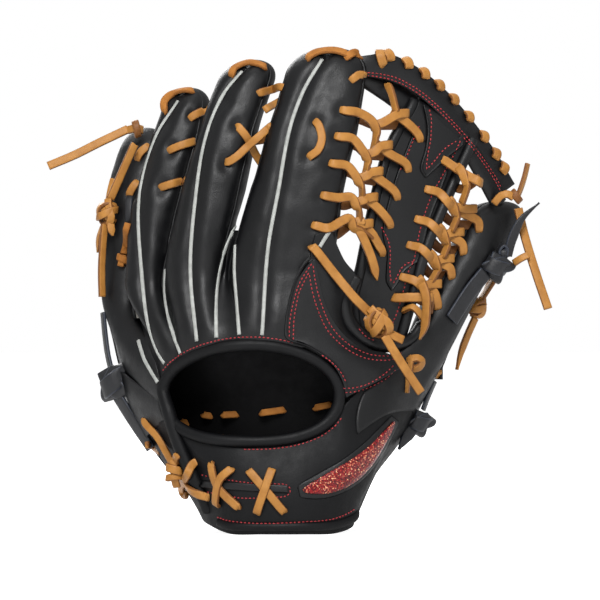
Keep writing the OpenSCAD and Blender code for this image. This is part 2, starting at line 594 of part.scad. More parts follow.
// Lace from the little finger's tip down its outer side, with a knot at each end
module pinky_lace() {
    color(tan) {
        strap([[-97, 97, 246], [-104, 96, 227], [-112, 94, 209]], [-0.4, -1, 0]);
        translate([-115.5, 92, 200]) scale([1, 0.9, 1.2]) sphere(r = 6.5, $fn = 8);
    }
}
module pinky_tip_tail() {
    color(tan) lace([[-100, 102, 253], [-118, 100, 246], [-134, 99, 238], [-151, 98, 230]], [0, -1, 0], 4);
}
module pinky_tail() {
    color(tan) lace([[-116, 90, 191], [-117, 88, 179], [-117.5, 87, 164], [-116.5, 86, 147]], [-0.4, -1, 0], 4);
}
// Long lace from the index finger's root over the crotch, knotted halfway
module crotch_lace() {
    color(tan) {
        strap([[17, 0, 177], [30, 3, 163], [43, 10, 149], [54, 17, 139]], [0.2, -1, 0]);
        translate([59, 18, 132]) scale([0.9, 0.9, 1.2]) sphere(r = 6.5, $fn = 8);
    }
}
module crotch_tail() {
    color(tan) lace([[62, 14, 122], [69, 14.5, 111], [77, 18, 99], [85, 23, 88]], [0.2, -1, 0], 4);
}
module thumb_strap() {
    color(black) back_lace(thumb_path, thumb_yaw, [124, 163], [104, 134], 3);
}
module thumb_strap_knot() {
    color(black) translate(thumb_back(130, 167, 9.4)) sphere(r = 7.5, $fn = 8);
}
module thumb_strap_tail() {
    color(black) lace([[141, 70, 174], [144, 69, 186], [150, 70, 197], [161, 74, 207]], [0.3, -1, 0], 4);
}
// Narrower lace knotted behind the thumb's outer edge
thumb_lace_w = lace_w - 0.8;
module thumb_knot() {
    color(tan) {
        strap([[134, 88, 160], [129, 87.5, 153], [124, 86.5, 146]], [1, 0.4, -0.6], thumb_lace_w);
        translate([122, 86, 139]) sphere(r = 5.5, $fn = 8);
    }
}
module thumb_knot_tail() {
    color(tan) strap(resampled([[119.5, 86, 132], [114.5, 84, 122], [110.5, 81, 111], [108, 79, 100]], 4), [1, 0.2, -0.4],
        thumb_lace_w);
}
// Lace's end where the top band meets the thumb
module thumb_tip_knot() {
    knot([150, 80, 212], 5.5);
}
module thumb_tip_tail() {
    color(tan) lace([[148, 78, 203], [153, 76, 185], [160, 73, 163], [167, 70, 140]], [0.5, -0.8, 0], 5);
}
module heel_lace() {
    color(tan) {
        strap([for (k = [0 : 4]) band_at(0.98 - 0.1 * k, 0.1 + 0.01 * k, 3)], [-0.7, -0.7, 0]);
    }
}

// ---- nodes --------------------------------------------------------------------------------

palm_leather();
pad(heel_rows, palm_top, 3, fold_column);  // palm_felt_pad
pad(0, heel_rows - 1, 3, 9);  // heel_pad_pinky
pad(0, palm_top, fold_column + 1, palm_columns - 4);  // heel_pad_thumb
palm_lining();
color(black) hollow_stall(index_path, index_yaw, index_hem);  // index_stall
color(black) hollow_stall(middle_path, middle_yaw, middle_hem);  // middle_stall
color(black) hollow_stall(ring_path, ring_yaw, ring_hem);  // ring_stall
color(black) hollow_stall(pinky_path, pinky_yaw, pinky_hem);  // pinky_stall
color(black) hollow_stall(thumb_path, thumb_yaw);  // thumb_stall
color(grey) stall_felt(index_path, index_yaw);  // index_felt
color(grey) stall_felt(middle_path, middle_yaw);  // middle_felt
color(grey) stall_felt(ring_path, ring_yaw);  // ring_felt
color(grey) stall_felt(pinky_path, pinky_yaw);  // pinky_felt
color(grey) stall_felt(thumb_path, thumb_yaw);  // thumb_felt
union() {  // index_welts
    color(grey) welt(index_path, index_yaw, [[126, -14], [177, -10.6], [214, -4], [252, 3], [277, 12], [285, 16]]);
    color(grey) welt(index_path, index_yaw, [[126, -28.5], [145, -30], [163, -31], [184, -29]], 4);
}
union() {  // middle_welts
    color(grey) welt(middle_path, middle_yaw, [[122, -55], [164, -59], [208, -56], [246, -50], [270, -40], [277, -36]]);
    color(grey) welt(middle_path, middle_yaw, [[122, -43], [146, -42], [163, -41.5], [184, -37]], 4);
}
union() {  // ring_welts
    color(grey) welt(ring_path, ring_yaw, [[113, -82], [161, -89.5], [210, -90], [248, -81], [259, -76]]);
    color(grey) welt(ring_path, ring_yaw, [[116, -73], [130, -75], [149, -77.5], [160, -77.5]], 4);
}
color(grey) welt(pinky_path, pinky_yaw, [[103, -88], [119, -93], [140, -95], [150, -95]], 4);  // pinky_welt
color(grey) welt(thumb_path, thumb_yaw, [[106, 97], [129, 110], [146, 119], [167, 132], [186, 144], [198, 150]]);  // thumb_welt
wrist_band();
back_panel();
pinky_panel();
opening_binding();
wrist_fleece();
wrist_patch();
finger_gussets();
overlap_roll();
band_roll();
web_tongues();
web_panel();
web_panel_roll();
web_top_band();
web_cross_bars();
crotch_roll();
web_lace_index();
web_lace_thumb();
web_edge_lace();
fingertip_laces();
finger_laces();
wrist_lace();
pinky_strap();
pinky_strap_knot();
pinky_lace();
pinky_tip_tail();
pinky_tail();
crotch_lace();
crotch_tail();
thumb_strap();
thumb_strap_knot();
thumb_strap_tail();
thumb_knot();
thumb_knot_tail();
thumb_tip_knot();
thumb_tip_tail();
heel_lace();
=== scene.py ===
import math
import bpy
import bmesh
from mathutils import Matrix, Vector, noise
from mathutils.bvhtree import BVHTree


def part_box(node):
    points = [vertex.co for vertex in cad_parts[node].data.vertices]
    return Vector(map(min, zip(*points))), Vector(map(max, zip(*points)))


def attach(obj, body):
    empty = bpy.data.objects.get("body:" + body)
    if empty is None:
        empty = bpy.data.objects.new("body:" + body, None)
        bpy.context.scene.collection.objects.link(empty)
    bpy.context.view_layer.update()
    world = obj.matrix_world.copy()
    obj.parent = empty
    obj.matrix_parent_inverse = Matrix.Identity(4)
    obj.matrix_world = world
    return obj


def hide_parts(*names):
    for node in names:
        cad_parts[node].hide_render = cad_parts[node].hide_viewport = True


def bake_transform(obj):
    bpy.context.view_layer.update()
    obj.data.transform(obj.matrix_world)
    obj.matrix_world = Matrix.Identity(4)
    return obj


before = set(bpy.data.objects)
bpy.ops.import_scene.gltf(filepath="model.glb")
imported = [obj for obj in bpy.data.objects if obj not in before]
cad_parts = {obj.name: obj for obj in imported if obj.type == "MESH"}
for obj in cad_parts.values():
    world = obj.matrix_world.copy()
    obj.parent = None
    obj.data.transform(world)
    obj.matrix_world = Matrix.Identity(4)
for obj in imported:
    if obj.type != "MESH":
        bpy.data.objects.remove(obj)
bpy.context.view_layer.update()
MM = 0.001

# ---- Studio -------------------------------------------------------------------------------
# A pale floor, a pale surround and large soft lamps. The camera stands behind the glove at
# the height of its middle, with a long lens.
camera_data = bpy.data.cameras.new("camera")
camera_data.lens = 384.0
camera_data.sensor_width = 36.0
camera = bpy.data.objects.new("camera", camera_data)
bpy.context.collection.objects.link(camera)
camera_distance = 4.0
camera_rise = math.radians(0.6)
look_at = Vector((0.0094, 0.030, 0.1456))
camera.location = look_at + Vector((0, -math.cos(camera_rise), math.sin(camera_rise))) * camera_distance
camera.rotation_euler = (math.radians(90) - camera_rise, 0, 0)
bpy.context.scene.camera = camera
bpy.context.scene.view_settings.view_transform = "Standard"


def put_in(tree, made, inputs):
    """Set a node's inputs: each is a value, or the output of another node."""
    for name, value in inputs.items():
        if isinstance(value, bpy.types.NodeSocket):
            tree.links.new(value, made.inputs[name])
        else:
            made.inputs[name].default_value = value


def node(tree, kind, output, inputs, **settings):
    made = tree.nodes.new("ShaderNode" + kind)
    for name, value in settings.items():
        setattr(made, name, value)
    put_in(tree, made, inputs)
    return made.outputs[output]


def larger(tree, first, second):
    return node(tree, "Math", 0, {0: first, 1: second}, operation="MAXIMUM")


def mixed(tree, factor, first, second):
    return node(tree, "Mix", "Result", {"A": first, "B": second, "Factor": factor}, data_type="RGBA")


def background_mask(tree):
    """1 where the eye meets the background itself, straight, mirrored or through glass."""
    ray = tree.nodes.new("ShaderNodeLightPath").outputs
    return larger(tree, larger(tree, ray["Is Camera Ray"], ray["Is Glossy Ray"]), ray["Is Transmission Ray"])


slots = {}


def new_material(name, slot=None):
    """An empty material; its slot is kept in a table under the material's name."""
    material = bpy.data.materials.new(name)
    material.use_nodes = True
    slots[material.name] = slot
    return material, material.node_tree, material.node_tree.nodes["Principled BSDF"]


floor_material, tree, shader = new_material("studio_floor")
put_in(tree, shader, {"Base Color": (0.8, 0.8, 0.8, 1), "Roughness": 0.9})
floor_glow = 0.93
strength = node(tree, "Math", 0, {0: background_mask(tree), 1: floor_glow}, operation="MULTIPLY")
glow = node(tree, "Emission", 0, {"Color": (1, 1, 1, 1), "Strength": strength})
lit = node(tree, "AddShader", 0, {0: shader.outputs[0], 1: glow})
put_in(tree, tree.nodes["Material Output"], {"Surface": lit})

bm = bmesh.new()
bmesh.ops.create_grid(bm, x_segments=1, y_segments=1, size=6)
floor_mesh = bpy.data.meshes.new("floor")
bm.to_mesh(floor_mesh)
bm.free()
floor_mesh.materials.append(floor_material)
floor = bpy.data.objects.new("floor", floor_mesh)
bpy.context.collection.objects.link(floor)

world = bpy.data.worlds.new("surround")
bpy.context.scene.world = world
world.use_nodes = True
tree = world.node_tree
surround = mixed(tree, background_mask(tree), (0.08, 0.08, 0.085, 1), (1, 1, 1, 1))
put_in(tree, tree.nodes["Background"], {"Color": surround})

for name, place, aim, size, power in (("key_lamp", (-0.1, -1.4, 1.35), (0, 0, 0.16), (0.6, 0.6), 45),
                                      ("fill_lamp", (1.5, -1.2, 0.7), (0, 0, 0.15), (0.8, 1.4), 2.5),
                                      ("top_lamp", (0.1, 0.3, 1.7), (0, 0, 0.2), (1.4, 0.9), 8),
                                      ("pocket_lamp", (-0.6, 1.7, 1.1), (0, 0, 0.15), (0.9, 0.9), 34)):
    softbox = bpy.data.lights.new(name, "AREA")
    softbox.shape = "RECTANGLE"
    softbox.size, softbox.size_y = size
    softbox.energy = power
    lamp = bpy.data.objects.new(name, softbox)
    lamp.location = place
    lamp.rotation_euler = (Vector(aim) - Vector(place)).to_track_quat("-Z", "Y").to_euler()
    bpy.context.collection.objects.link(lamp)

# ---- Black shell leather ------------------------------------------------------------------
# Smooth steerhide, dyed through, with a fine grain, soft creases and a low sheen.


def ranged(tree, value, low, high, to_low=0, to_high=1):
    return node(tree, "MapRange", "Result", {"From Min": low, "From Max": high, "To Min": to_low,
                                             "To Max": to_high, "Value": value})


def noise_of(tree, place, scale, detail=3.0, roughness=0.55):
    return node(tree, "TexNoise", "Fac", {"Scale": scale, "Detail": detail, "Roughness": roughness,
                                          "Vector": place})


def mottled(tree, value, spread, first, second):
    """Two colours, mixed by a noise that is drawn out from its middle."""
    return mixed(tree, ranged(tree, value, 0.5 - spread, 0.5 + spread), first, second)


def relief(tree, height, strength, distance, under=None):
    """Bump of a height, laid over another bump."""
    inputs = {"Strength": strength, "Distance": distance, "Height": height}
    if under is not None:
        inputs["Normal"] = under
    return node(tree, "Bump", "Normal", inputs)


def shell_leather(name, slot, dark, light, roughness, grain, sheen):
    material, tree, shader = new_material(name, slot)
    place = node(tree, "TexCoord", "Object", {})
    cells = node(tree, "TexVoronoi", "Distance", {"Scale": 1150, "Vector": place}, feature="DISTANCE_TO_EDGE")
    grained = relief(tree, cells, grain, 0.00012)
    pored = relief(tree, noise_of(tree, place, 900, 2), grain * 0.8, 0.00015, grained)
    creased = relief(tree, noise_of(tree, place, 60, 5, 0.6), 0.35, 0.0011, pored)
    turned = node(tree, "LayerWeight", "Facing", {})
    put_in(tree, shader, {
        "Base Color": mottled(tree, noise_of(tree, place, 22, 4), 0.2, dark, light),
        "Roughness": ranged(tree, noise_of(tree, place, 190, 4), 0.3, 0.7, *roughness),
        "Normal": creased,
        "Specular IOR Level": ranged(tree, turned, 0.05, 0.75, sheen, sheen * 0.2)})
    return material


dyed = (0.0014, 0.0015, 0.0018, 1), (0.0036, 0.0037, 0.0043, 1)
black_leather = shell_leather("black_leather", "shell", *dyed, (0.40, 0.52), 0.6, 0.23)
binding_leather = shell_leather("binding_leather", "binding", *dyed, (0.48, 0.60), 0.6, 0.14)


def smooth_row(rows, z):
    """Row of a table at a value of its first column, on a smooth line through the rows."""
    i = 0
    while i < len(rows) - 2 and z >= rows[i + 1][0]:
        i += 1

    def slope(k, c):
        a, b = rows[max(k - 1, 0)], rows[min(k + 1, len(rows) - 1)]
        return (b[c] - a[c]) / (b[0] - a[0])

    low, high = rows[i], rows[i + 1]
    h = high[0] - low[0]
    weights = hermite((z - low[0]) / h)
    return [low[c] * weights[0] + slope(i, c) * (weights[1] * h) + high[c] * weights[2]
            + slope(i + 1, c) * (weights[3] * h) for c in range(len(low))]


def hermite(u):
    """Weights of a smooth step: its start, its leaving slope, its end and its arriving slope."""
    return 2 * u**3 - 3 * u**2 + 1, u**3 - 2 * u**2 + u, 3 * u**2 - 2 * u**3, u**3 - u**2


def along(points, share):
    rows = [[i / (len(points) - 1), *p] for i, p in enumerate(points)]
    return Vector(smooth_row(rows, share)[1:])


def net_point(net, u, v):
    """Point of a smooth sheet over control lines: u from line to line, v along the lines."""
    return along([along(line, v) for line in net], u)


# Points closer than this, in metres, are made one
weld = 0.00001


def finish_piece(bm, name, material, body, thickness=0.0, replaced=None, slot=None):
    """Merge the seams, shade the mesh smooth and hang it on its body; a piece given a fold's two ends
    stays where it is made, its transform baked in. A thickness goes inwards."""
    bmesh.ops.remove_doubles(bm, verts=bm.verts, dist=weld)
    for face in bm.faces:
        face.smooth = True
    mesh = bpy.data.meshes.new(name)
    bm.to_mesh(mesh)
    bm.free()
    mesh.materials.append(material)
    piece = bpy.data.objects.new(name, mesh)
    bpy.context.collection.objects.link(piece)
    if thickness:
        wall = piece.modifiers.new("thickness", "SOLIDIFY")
        wall.thickness = thickness * MM
        wall.offset = -1
    if isinstance(body, str):
        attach(piece, body)
    else:
        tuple(body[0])
        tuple(body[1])
        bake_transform(piece)
    if replaced:
        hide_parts(replaced)
    slot = slot or slots[material.name]
    return piece


def sheet(name, columns, rows, place, material, body, thickness=0.0, replaced=None, slot=None, flip=False):
    """A grid laid on the surface place(u, v) in millimetres; u runs left to right seen from outside."""
    bm = bmesh.new()
    bmesh.ops.create_grid(bm, x_segments=columns, y_segments=rows, size=0.5)
    for vert in bm.verts:
        vert.co = Vector(place(vert.co.x + 0.5, vert.co.y + 0.5)) * MM
    if flip:
        bmesh.ops.reverse_faces(bm, faces=bm.faces)
    return finish_piece(bm, name, material, body, thickness, replaced, slot)


# ---- Finger stalls ------------------------------------------------------------------------
# Each finger's back is a cut of shell leather sewn over grey welting and puffed out by felt
# between the seams. It runs from the binding of the hand opening over the fingertip, and meets
# the pocket-side leather along the sides of the finger.
rim_middle, rim_half_w, rim_half_h, rim_radius = (-21, 3, 88), 55, 30, 3.8


def rounded(value, exponent):
    return math.copysign(abs(value) ** exponent, value)


def rim_point(turn, out=0.0, back=0.0):
    """Point on the middle line of the opening's rim, or outside it; the rim falls back at its ends."""
    square = 0.74 if 180 < turn % 360 < 270 else 0.84 if turn % 360 > 270 else 1.0
    x = (rim_half_w + out) * rounded(math.cos(math.radians(turn)), square)
    k = x / rim_half_w
    depth = rim_middle[1] + (27 if k < 0 else 6) * k * k
    z = (rim_half_h + out) * rounded(math.sin(math.radians(turn)), square)
    return Vector((rim_middle[0] + x, depth - back, rim_middle[2] + z))


def finger_rows(foot, node, xs, ys, half, widths, depths):
    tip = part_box(node)[1][2] / MM
    return [[foot + (tip - foot) * i / 4, xs[i], ys[i], half * widths[i], depths[i]] for i in range(5)]


def rim_hem(left, right):
    """The line on the rim where a finger's back is sewn, and the way the leather leaves it."""
    def hem(u):
        return (rim_point(left + (right - left) * u, rim_radius * 0.7, 1.2 + 1.2 * math.sin(math.pi * u)),
                Vector((0, -0.16 * math.sin(math.pi * u), 1)))
    return hem


def pinky_hem(u):
    low = [(-104, 84, 101), (-98, 61, 98), rim_point(186, rim_radius * 0.7, 1),
           rim_point(170, rim_radius * 0.7, 1)]
    return along(low, u), Vector((-0.25, -0.1, 1))


def thumb_hem(u):
    low = net_point(band_net, 0.60 + 0.38 * u, 0.72) + Vector((0.3, -0.5, 0))
    return low, net_point(band_net, 0.60 + 0.38 * u, 0.76) - net_point(band_net, 0.60 + 0.38 * u, 0.72)


fingers = {
    "index": dict(rows=finger_rows(124, "index_stall", [-1, -2.2, 7.3, 19, 29], [26, 24, 26, 32, 44], 29.5,
                                   [1.08, 1.09, 0.96, 0.9, 0.8], [15, 16, 16, 15, 12]),
                  yaw=6, dome=17, joins=166, skirt=0.3, hem=rim_hem(98, 56),
                  seams=[[[110, -15], [126, -14], [177, -10.6], [214, -4], [252, 3], [277, 12], [299, 25]]]),
    "middle": dict(rows=finger_rows(120, "middle_stall", [-56, -56.2, -46.9, -35.6, -20.4],
                                    [34, 38, 42, 49, 62], 19,
                                    [0.75, 0.96, 0.97, 0.9, 0.9], [13, 15, 16, 15, 12]),
                   yaw=26, dome=15, joins=166, skirt=0.3, hem=rim_hem(143, 112),
                   seams=[[[105, -53.5], [122, -55], [164, -59], [208, -56], [246, -50], [274, -39],
                           [293, -24]]]),
    "ring": dict(rows=finger_rows(111, "ring_stall", [-82, -87, -82, -71, -61], [54, 64, 73, 80, 92], 15.5,
                                  [0.74, 0.86, 1, 1, 0.86], [12, 14, 15, 14, 11]),
                 yaw=38, dome=14, joins=158, skirt=0.32, hem=rim_hem(170, 142),
                 seams=[[[95, -74], [113, -80], [131, -86], [161, -90], [210, -92], [248, -82], [276, -66]]]),
    "pinky": dict(rows=finger_rows(101, "pinky_stall", [-95, -102.5, -101.8, -96.6, -89],
                                   [76, 92, 102, 108, 116],
                                   14.6, [0.75, 0.88, 1, 1.04, 0.86], [9, 11, 13, 13, 10]),
                  yaw=45, dome=13, joins=148, skirt=0.32, hem=pinky_hem, seams=[]),
    "thumb": dict(rows=finger_rows(103, "thumb_stall", [86, 97, 109.5, 125, 136], [58, 65, 73, 82, 91], 17.5,
                                   [0.86, 0.86, 0.9, 0.98, 0.96], [12, 13, 13, 13, 10]),
                  yaw=-45, dome=9, joins=142, skirt=0.36, hem=thumb_hem, seams=[]),
}
# Where laces pull the backs in: x, z, reach, depth
pulls = [(36, 264, 5, 2.2), (33, 247, 5, 2.2), (29, 230, 5, 2.2), (24, 211, 5, 2.2), (19, 192, 5, 2.2),
         (20, 257, 4, 1.9), (15, 235, 4, 1.9), (-37, 271, 4, 2.0), (-30, 255, 4, 2.4), (-36, 230, 5, 2.8),
         (-72, 240, 5, 2.8), (-77, 216, 5, 2.8), (-59, 261, 4, 1.8), (-92, 236, 4, 1.8), (-98, 212, 4, 1.8),
         (104, 160, 3, 0.8), (112, 175, 3, 0.8), (121, 190, 3, 0.8), (16, 179, 4, 1.6)]


def stall_skin(finger, z, turn, grow=0.0, close=1.0):
    """Point of a stall's skin at a height; a turn of 90 degrees faces the pocket and 270 the back."""
    row = smooth_row(finger["rows"], min(z, finger["rows"][-1][0]))
    yaw = math.radians(finger["yaw"])
    half, depth = row[3] * close, row[4] * close
    width = math.sqrt(max(half**2 - (depth * math.sin(yaw)) ** 2, 0.3 * half**2)) / math.cos(yaw)
    across = (width + grow) * rounded(math.cos(math.radians(turn)), 0.88)
    deep = (depth + grow) * rounded(math.sin(math.radians(turn)), 0.88)
    return Vector((row[1] + across * math.cos(yaw) + deep * math.sin(yaw),
                   row[2] - across * math.sin(yaw) + deep * math.cos(yaw), z))


# Where along its length a stall starts to round over into its tip
dome_start = 0.8


def stall_point(finger, v, turn, grow=0.0):
    """Point of a stall with v from 0 at its foot to 1 at the middle of its rounded tip."""
    foot, tip = finger["rows"][0][0], finger["rows"][-1][0]
    if v < dome_start:
        return stall_skin(finger, foot + (tip - finger["dome"] - foot) * v / dome_start, turn, grow)
    rise = (v - dome_start) / (1 - dome_start) * math.radians(90)
    close = max(math.cos(rise), 0.0) ** 0.9
    return stall_skin(finger, tip - finger["dome"] * (1 - math.sin(rise)), turn, grow * close, close)


def centre_of(finger, z):
    row = smooth_row(finger["rows"], min(z, finger["rows"][-1][0]))
    return Vector((row[1], row[2], z))


def worked(point, centre, puff):
    """The point moved in and out as padded leather does, and pulled in round the lace holes."""
    out = point - centre
    out.z = 0
    if out.length < 1:
        return point
    out.normalize()
    point = point + out * puff * (noise.noise(point * 0.035) + 0.35 * noise.noise(point * 0.1))
    for x, z, reach, depth in pulls:
        near = ((point.x - x) ** 2 + (point.z - z) ** 2) / reach**2
        if near < 6 and point.y < centre.y:
            point = point - out * depth * math.exp(-near)
    return point


def back_point(finger, u, v):
    """Point of a finger's back: u from the left seam to the right one, v from the rim to the tip."""
    left_seam, right_seam = 174, 366
    turn = left_seam + (right_seam - left_seam) * u
    skirt = finger["skirt"]
    tuck = -0.9 * math.exp(-(min(u, 1 - u) / 0.05) ** 2)
    low, high = finger["rows"][0][0], finger["rows"][-1][0] - finger["dome"]
    foot = (finger["joins"] - low) / ((high - low) / dome_start)
    if v < skirt:
        share = v / skirt
        top = stall_point(finger, foot, turn, tuck)
        rise = stall_point(finger, foot + 0.03, turn, tuck) - top
        low, leave = finger["hem"](u)
        away = (top - low).length
        h = hermite(share)
        point = (low * h[0] + leave.normalized() * away * h[1] + top * h[2]
                 + rise.normalized() * away * h[3] * 0.8)
        centre = point + Vector((0, 10, 0))
        strength = min(1, share * 4)
    else:
        v = foot + (1 - foot) * (v - skirt) / (1 - skirt)
        point = stall_point(finger, v, turn, tuck)
        centre = centre_of(finger, point.z)
        strength = 1.0
    near_tip = 0.85
    fade = 1 - max(0, (v - near_tip) / 0.15) if v > near_tip and strength == 1.0 else 1.0
    point = worked(point, centre, 1.3 * strength * fade)
    for seam in finger["seams"]:
        near = point.x - smooth_row(seam, min(max(point.z, seam[0][0]), seam[-1][0]))[1]
        if point.y < centre.y:
            point.y += strength * (1.5 * math.exp(-(near / 3.0) ** 2)
                                   - 0.9 * math.exp(-((abs(near) - 8) / 4.5) ** 2))
    return point


# ---- Wrist band and thumb side ------------------------------------------------------------
# One broad cut of shell leather goes round the back of the wrist and up to the thumb. Its lower
# edge is rolled and sewn with red thread, and it carries the slot for the adjusting lace.
rim_out = rim_radius * 0.8
band_net = [
    [(-44, 83, 5), (-58, 88, 22), (-72, 92, 38), (-84, 94, 54)],
    [(-52, 56, 9), (-63, 58, 26), (-75, 60, 42), (-85, 62, 60)],
    [(-49, 28, 6), (-57, 29, 28), (-66, 29, 50), rim_point(205, rim_out)],
    [(-34, 6, 0.5), (-40, 5, 22), (-46, 8, 41), rim_point(235, rim_out)],
    [(-14, -1, 0.5), (-18, -3, 18), (-22, -2, 36), rim_point(265, rim_out)],
    [(12, -1, 0.5), (9, -4, 20), (6, -2, 38), rim_point(295, rim_out)],
    [(30, 8, 0.5), (30, 4, 24), (28, 3, 45), rim_point(322, rim_out)],
    [(42, 22, 4), (44, 14, 32), (42, 8, 56), rim_point(348, rim_out)],
    [(43.5, 36, 10), (56, 28, 40), (62, 24, 68), (60, 27, 104)],
    [(44.5, 48, 12), (58.5, 44, 42), (74, 42, 70), (80, 42, 110)],
    [(46, 58, 11), (59.5, 56, 40), (78, 54, 68), (94, 51, 108)],
    [(44.5, 70, 7), (56, 72, 33), (75, 72, 59), (97, 66, 102)],
    [(41.5, 82, 4), (52.5, 84, 26), (66.5, 84, 52), (91.5, 79, 92)]]


def band_point(u, v):
    point = net_point(band_net, u, v)
    return point + Vector((0, 0.5 * noise.noise(point * 0.03), 0))


# The two ends of a fold across the band: its start and its end
band_fold = (0.055, 0.05, 0.05), (0.088, 0.05, 0.1)
wrist_band = sheet("wrist_band_leather", 130, 44, band_point, binding_leather, band_fold, 2.4,
                   replaced="wrist_band", slot="shell")
shell = [wrist_band]

# ---- Palm ---------------------------------------------------------------------------------
# The pocket is one large cut of shell leather from the heel to the roots of the fingers. It is
# broken in along two folds, and hollowed where the ball lands.


def root(name, turn, more=0.0):
    finger = fingers[name]
    return stall_skin(finger, finger["rows"][0][0] + 2.5, turn, 3.1 + more)


palm_net = [
    [(-46, 89, 8), (-67, 96, 30), (-87, 99, 56), (-98, 98, 80), root("pinky", 157.5, 0.4)],
    [(-36.5, 86.4, 3), (-54, 89, 30), (-69, 90, 58), (-79, 89, 82), root("pinky", 90, 0.4)],
    [(-22, 82, 0.8), (-36, 79, 32), (-50, 75, 62), (-62, 71, 90), root("ring", 90)],
    [(-6, 79, 0.3), (-16, 70, 34), (-27, 61, 66), (-38, 54, 97), root("middle", 90)],
    [(12, 78, 0.3), (10, 65, 34), (7, 54, 67), (3, 47, 100), root("index", 101, 2)],
    [(24, 79, 0.3), (28, 66, 32), (30, 56, 64), (31, 48, 96), root("index", 50, 2)],
    [(32, 81, 0.6), (40, 71, 28), (48, 61, 56), (53, 52, 85), (56, 49, 113)],
    [(38.4, 84.4, 2.4), (47, 80, 27), (58, 75, 54), (69, 71, 81), root("thumb", 90, 1.6)],
    [(42.2, 88.6, 6.4), (49.5, 90, 26), (62, 91, 50), (79, 88, 75), root("thumb", 22.5, 1.6)]]
# Folds worn into the palm: the two ends, the reach and the depth of each
palm_folds = [((22, 6), (44, 60), 3.6, 1.5), ((44, 60), (60, 104), 3.6, 1.2), ((-18, 6), (-46, 52), 4.2, 1.2),
              ((-46, 52), (-78, 92), 4.2, 1.3), ((0, 30), (-24, 84), 6, 0.7), ((30, 34), (10, 92), 5, 0.6)]


def palm_point(u, v):
    point = net_point(palm_net, u, v)
    for (x0, z0), (x1, z1), reach, depth in palm_folds:
        way, near = Vector((x1 - x0, z1 - z0)), Vector((point.x - x0, point.z - z0))
        share = min(max(near.dot(way) / way.length_squared, 0), 1)
        away = (near - way * share).length / reach
        wander = 1 + 0.5 * noise.noise(point * 0.06)
        point.y += -depth * wander * math.exp(-away**2) + depth * 0.45 * math.exp(-(away - 2.4) ** 2)
    point.y += 1.5 * noise.noise(point * 0.022) + 0.5 * noise.noise(point * 0.07)
    return Vector((point.x, point.y, max(point.z, 1.9)))


palm_fold = (0.04, 0.06, 0.05), (0.072, 0.06, 0.09)
palm = sheet("palm_leather_face", 150, 110, palm_point, black_leather, palm_fold, 2.4, flip=True,
             replaced="palm_leather")


def skin_tree(pieces):
    bm = bmesh.new()
    for piece in pieces:
        bm.from_mesh(piece.data)
    tree = BVHTree.FromBMesh(bm)
    bm.free()
    return tree


def skin_at(tree, x, z, side=-1):
    """Where a straight look from the back (or the pocket) meets the leather, and the way it faces."""
    hit, normal, _, _ = tree.ray_cast(Vector((x * MM, side * 0.3, z * MM)), Vector((0, -side, 0)))
    if hit is None:
        return None, Vector((0, side, 0))
    if normal.y * side < 0:
        normal = -normal
    return hit / MM, normal


palm_tree = skin_tree([palm])


def front_point(finger, u, v):
    """Point of a finger's pocket side, from its right seam to its left one; its foot is under the palm."""
    right_seam, left_seam, under_palm = -5, 185, 0.08
    turn = right_seam + (left_seam - right_seam) * u
    foot = finger["rows"][0][0]
    grow = 0.3 + 2.2 * max(math.sin(math.pi * u), 0) ** 0.8
    if v < under_palm:
        point = stall_point(finger, 0, turn, grow) + Vector((0, 0, (v / under_palm - 1) * 8))
    else:
        point = stall_point(finger, (v - under_palm) / (1 - under_palm), turn, grow)
        point = worked(point, centre_of(finger, point.z), 1.5 * math.sin(math.pi * min(v * 1.1, 1)))
    share = min(max((foot + 34 - point.z) / 36, 0), 1)
    settle = share * share * (3 - 2 * share)
    if settle > 0:
        z = point.z
        hit = None
        while hit is None and z > foot - 30:
            hit = skin_at(palm_tree, point.x, z, 1)[0]
            z -= 2
        if hit is not None:
            lifted, turned_in = min(max((point.z - foot + 8) / 9, 0),
                                    1), math.exp(-(min(u, 1 - u) / 0.06) ** 2)
            point.y += (hit.y - 1.4 + (1.9 * lifted - 2.6 * turned_in) - point.y) * settle
    return point


for name, finger in fingers.items():
    back_body, front_body = (band_fold, "thumb") if name == "thumb" else ("hand", "hand")
    shell.append(sheet(name + "_back", 60, 120, lambda u, v: back_point(finger, u, v), black_leather,
                       back_body, 1.8, replaced=name + "_stall"))
    shell.append(sheet(name + "_front", 60, 120, lambda u, v: front_point(finger, u, v), black_leather,
                       front_body, 1.8))
shell.append(palm)

pinky_net = [
    [(-88, 94, 54), (-97, 94, 71), (-103, 91, 86), (-107, 84, 101)],
    [(-87.5, 64, 59), (-94, 64, 73), (-98.6, 63, 86), (-101, 64, 98)],
    [rim_point(205, rim_out), rim_point(198, rim_out), rim_point(191, rim_out), rim_point(184, rim_out)]]
shell.append(sheet("pinky_side_leather", 30, 24, lambda u, v: net_point(pinky_net, u, v), black_leather,
                   "hand", 2.4, replaced="pinky_panel"))

crotch_net = [
    [(60, 29, 107), (44, 18.5, 114), (31, 10.5, 125), (20, 8, 140), (15, 7, 156), (16, 7.5, 172),
     (19, 8.5, 186)],
    [(61, 31, 111.5), (48, 22, 118), (36, 15, 128), (29.5, 12, 142), (28, 11, 157), (25.5, 10.5, 172),
     (24, 10.5, 189)],
    [(62, 34, 116), (50, 29, 119.5), (41.5, 24.5, 128), (39, 22, 139), (42, 20.5, 150), (44.6, 19, 160.5),
     (36.5, 14.5, 171.5), (28, 11.5, 191)]]
shell.append(sheet("crotch_side_leather", 40, 90, lambda u, v: net_point(crotch_net, u, v), black_leather,
                   "hand", 2.0))

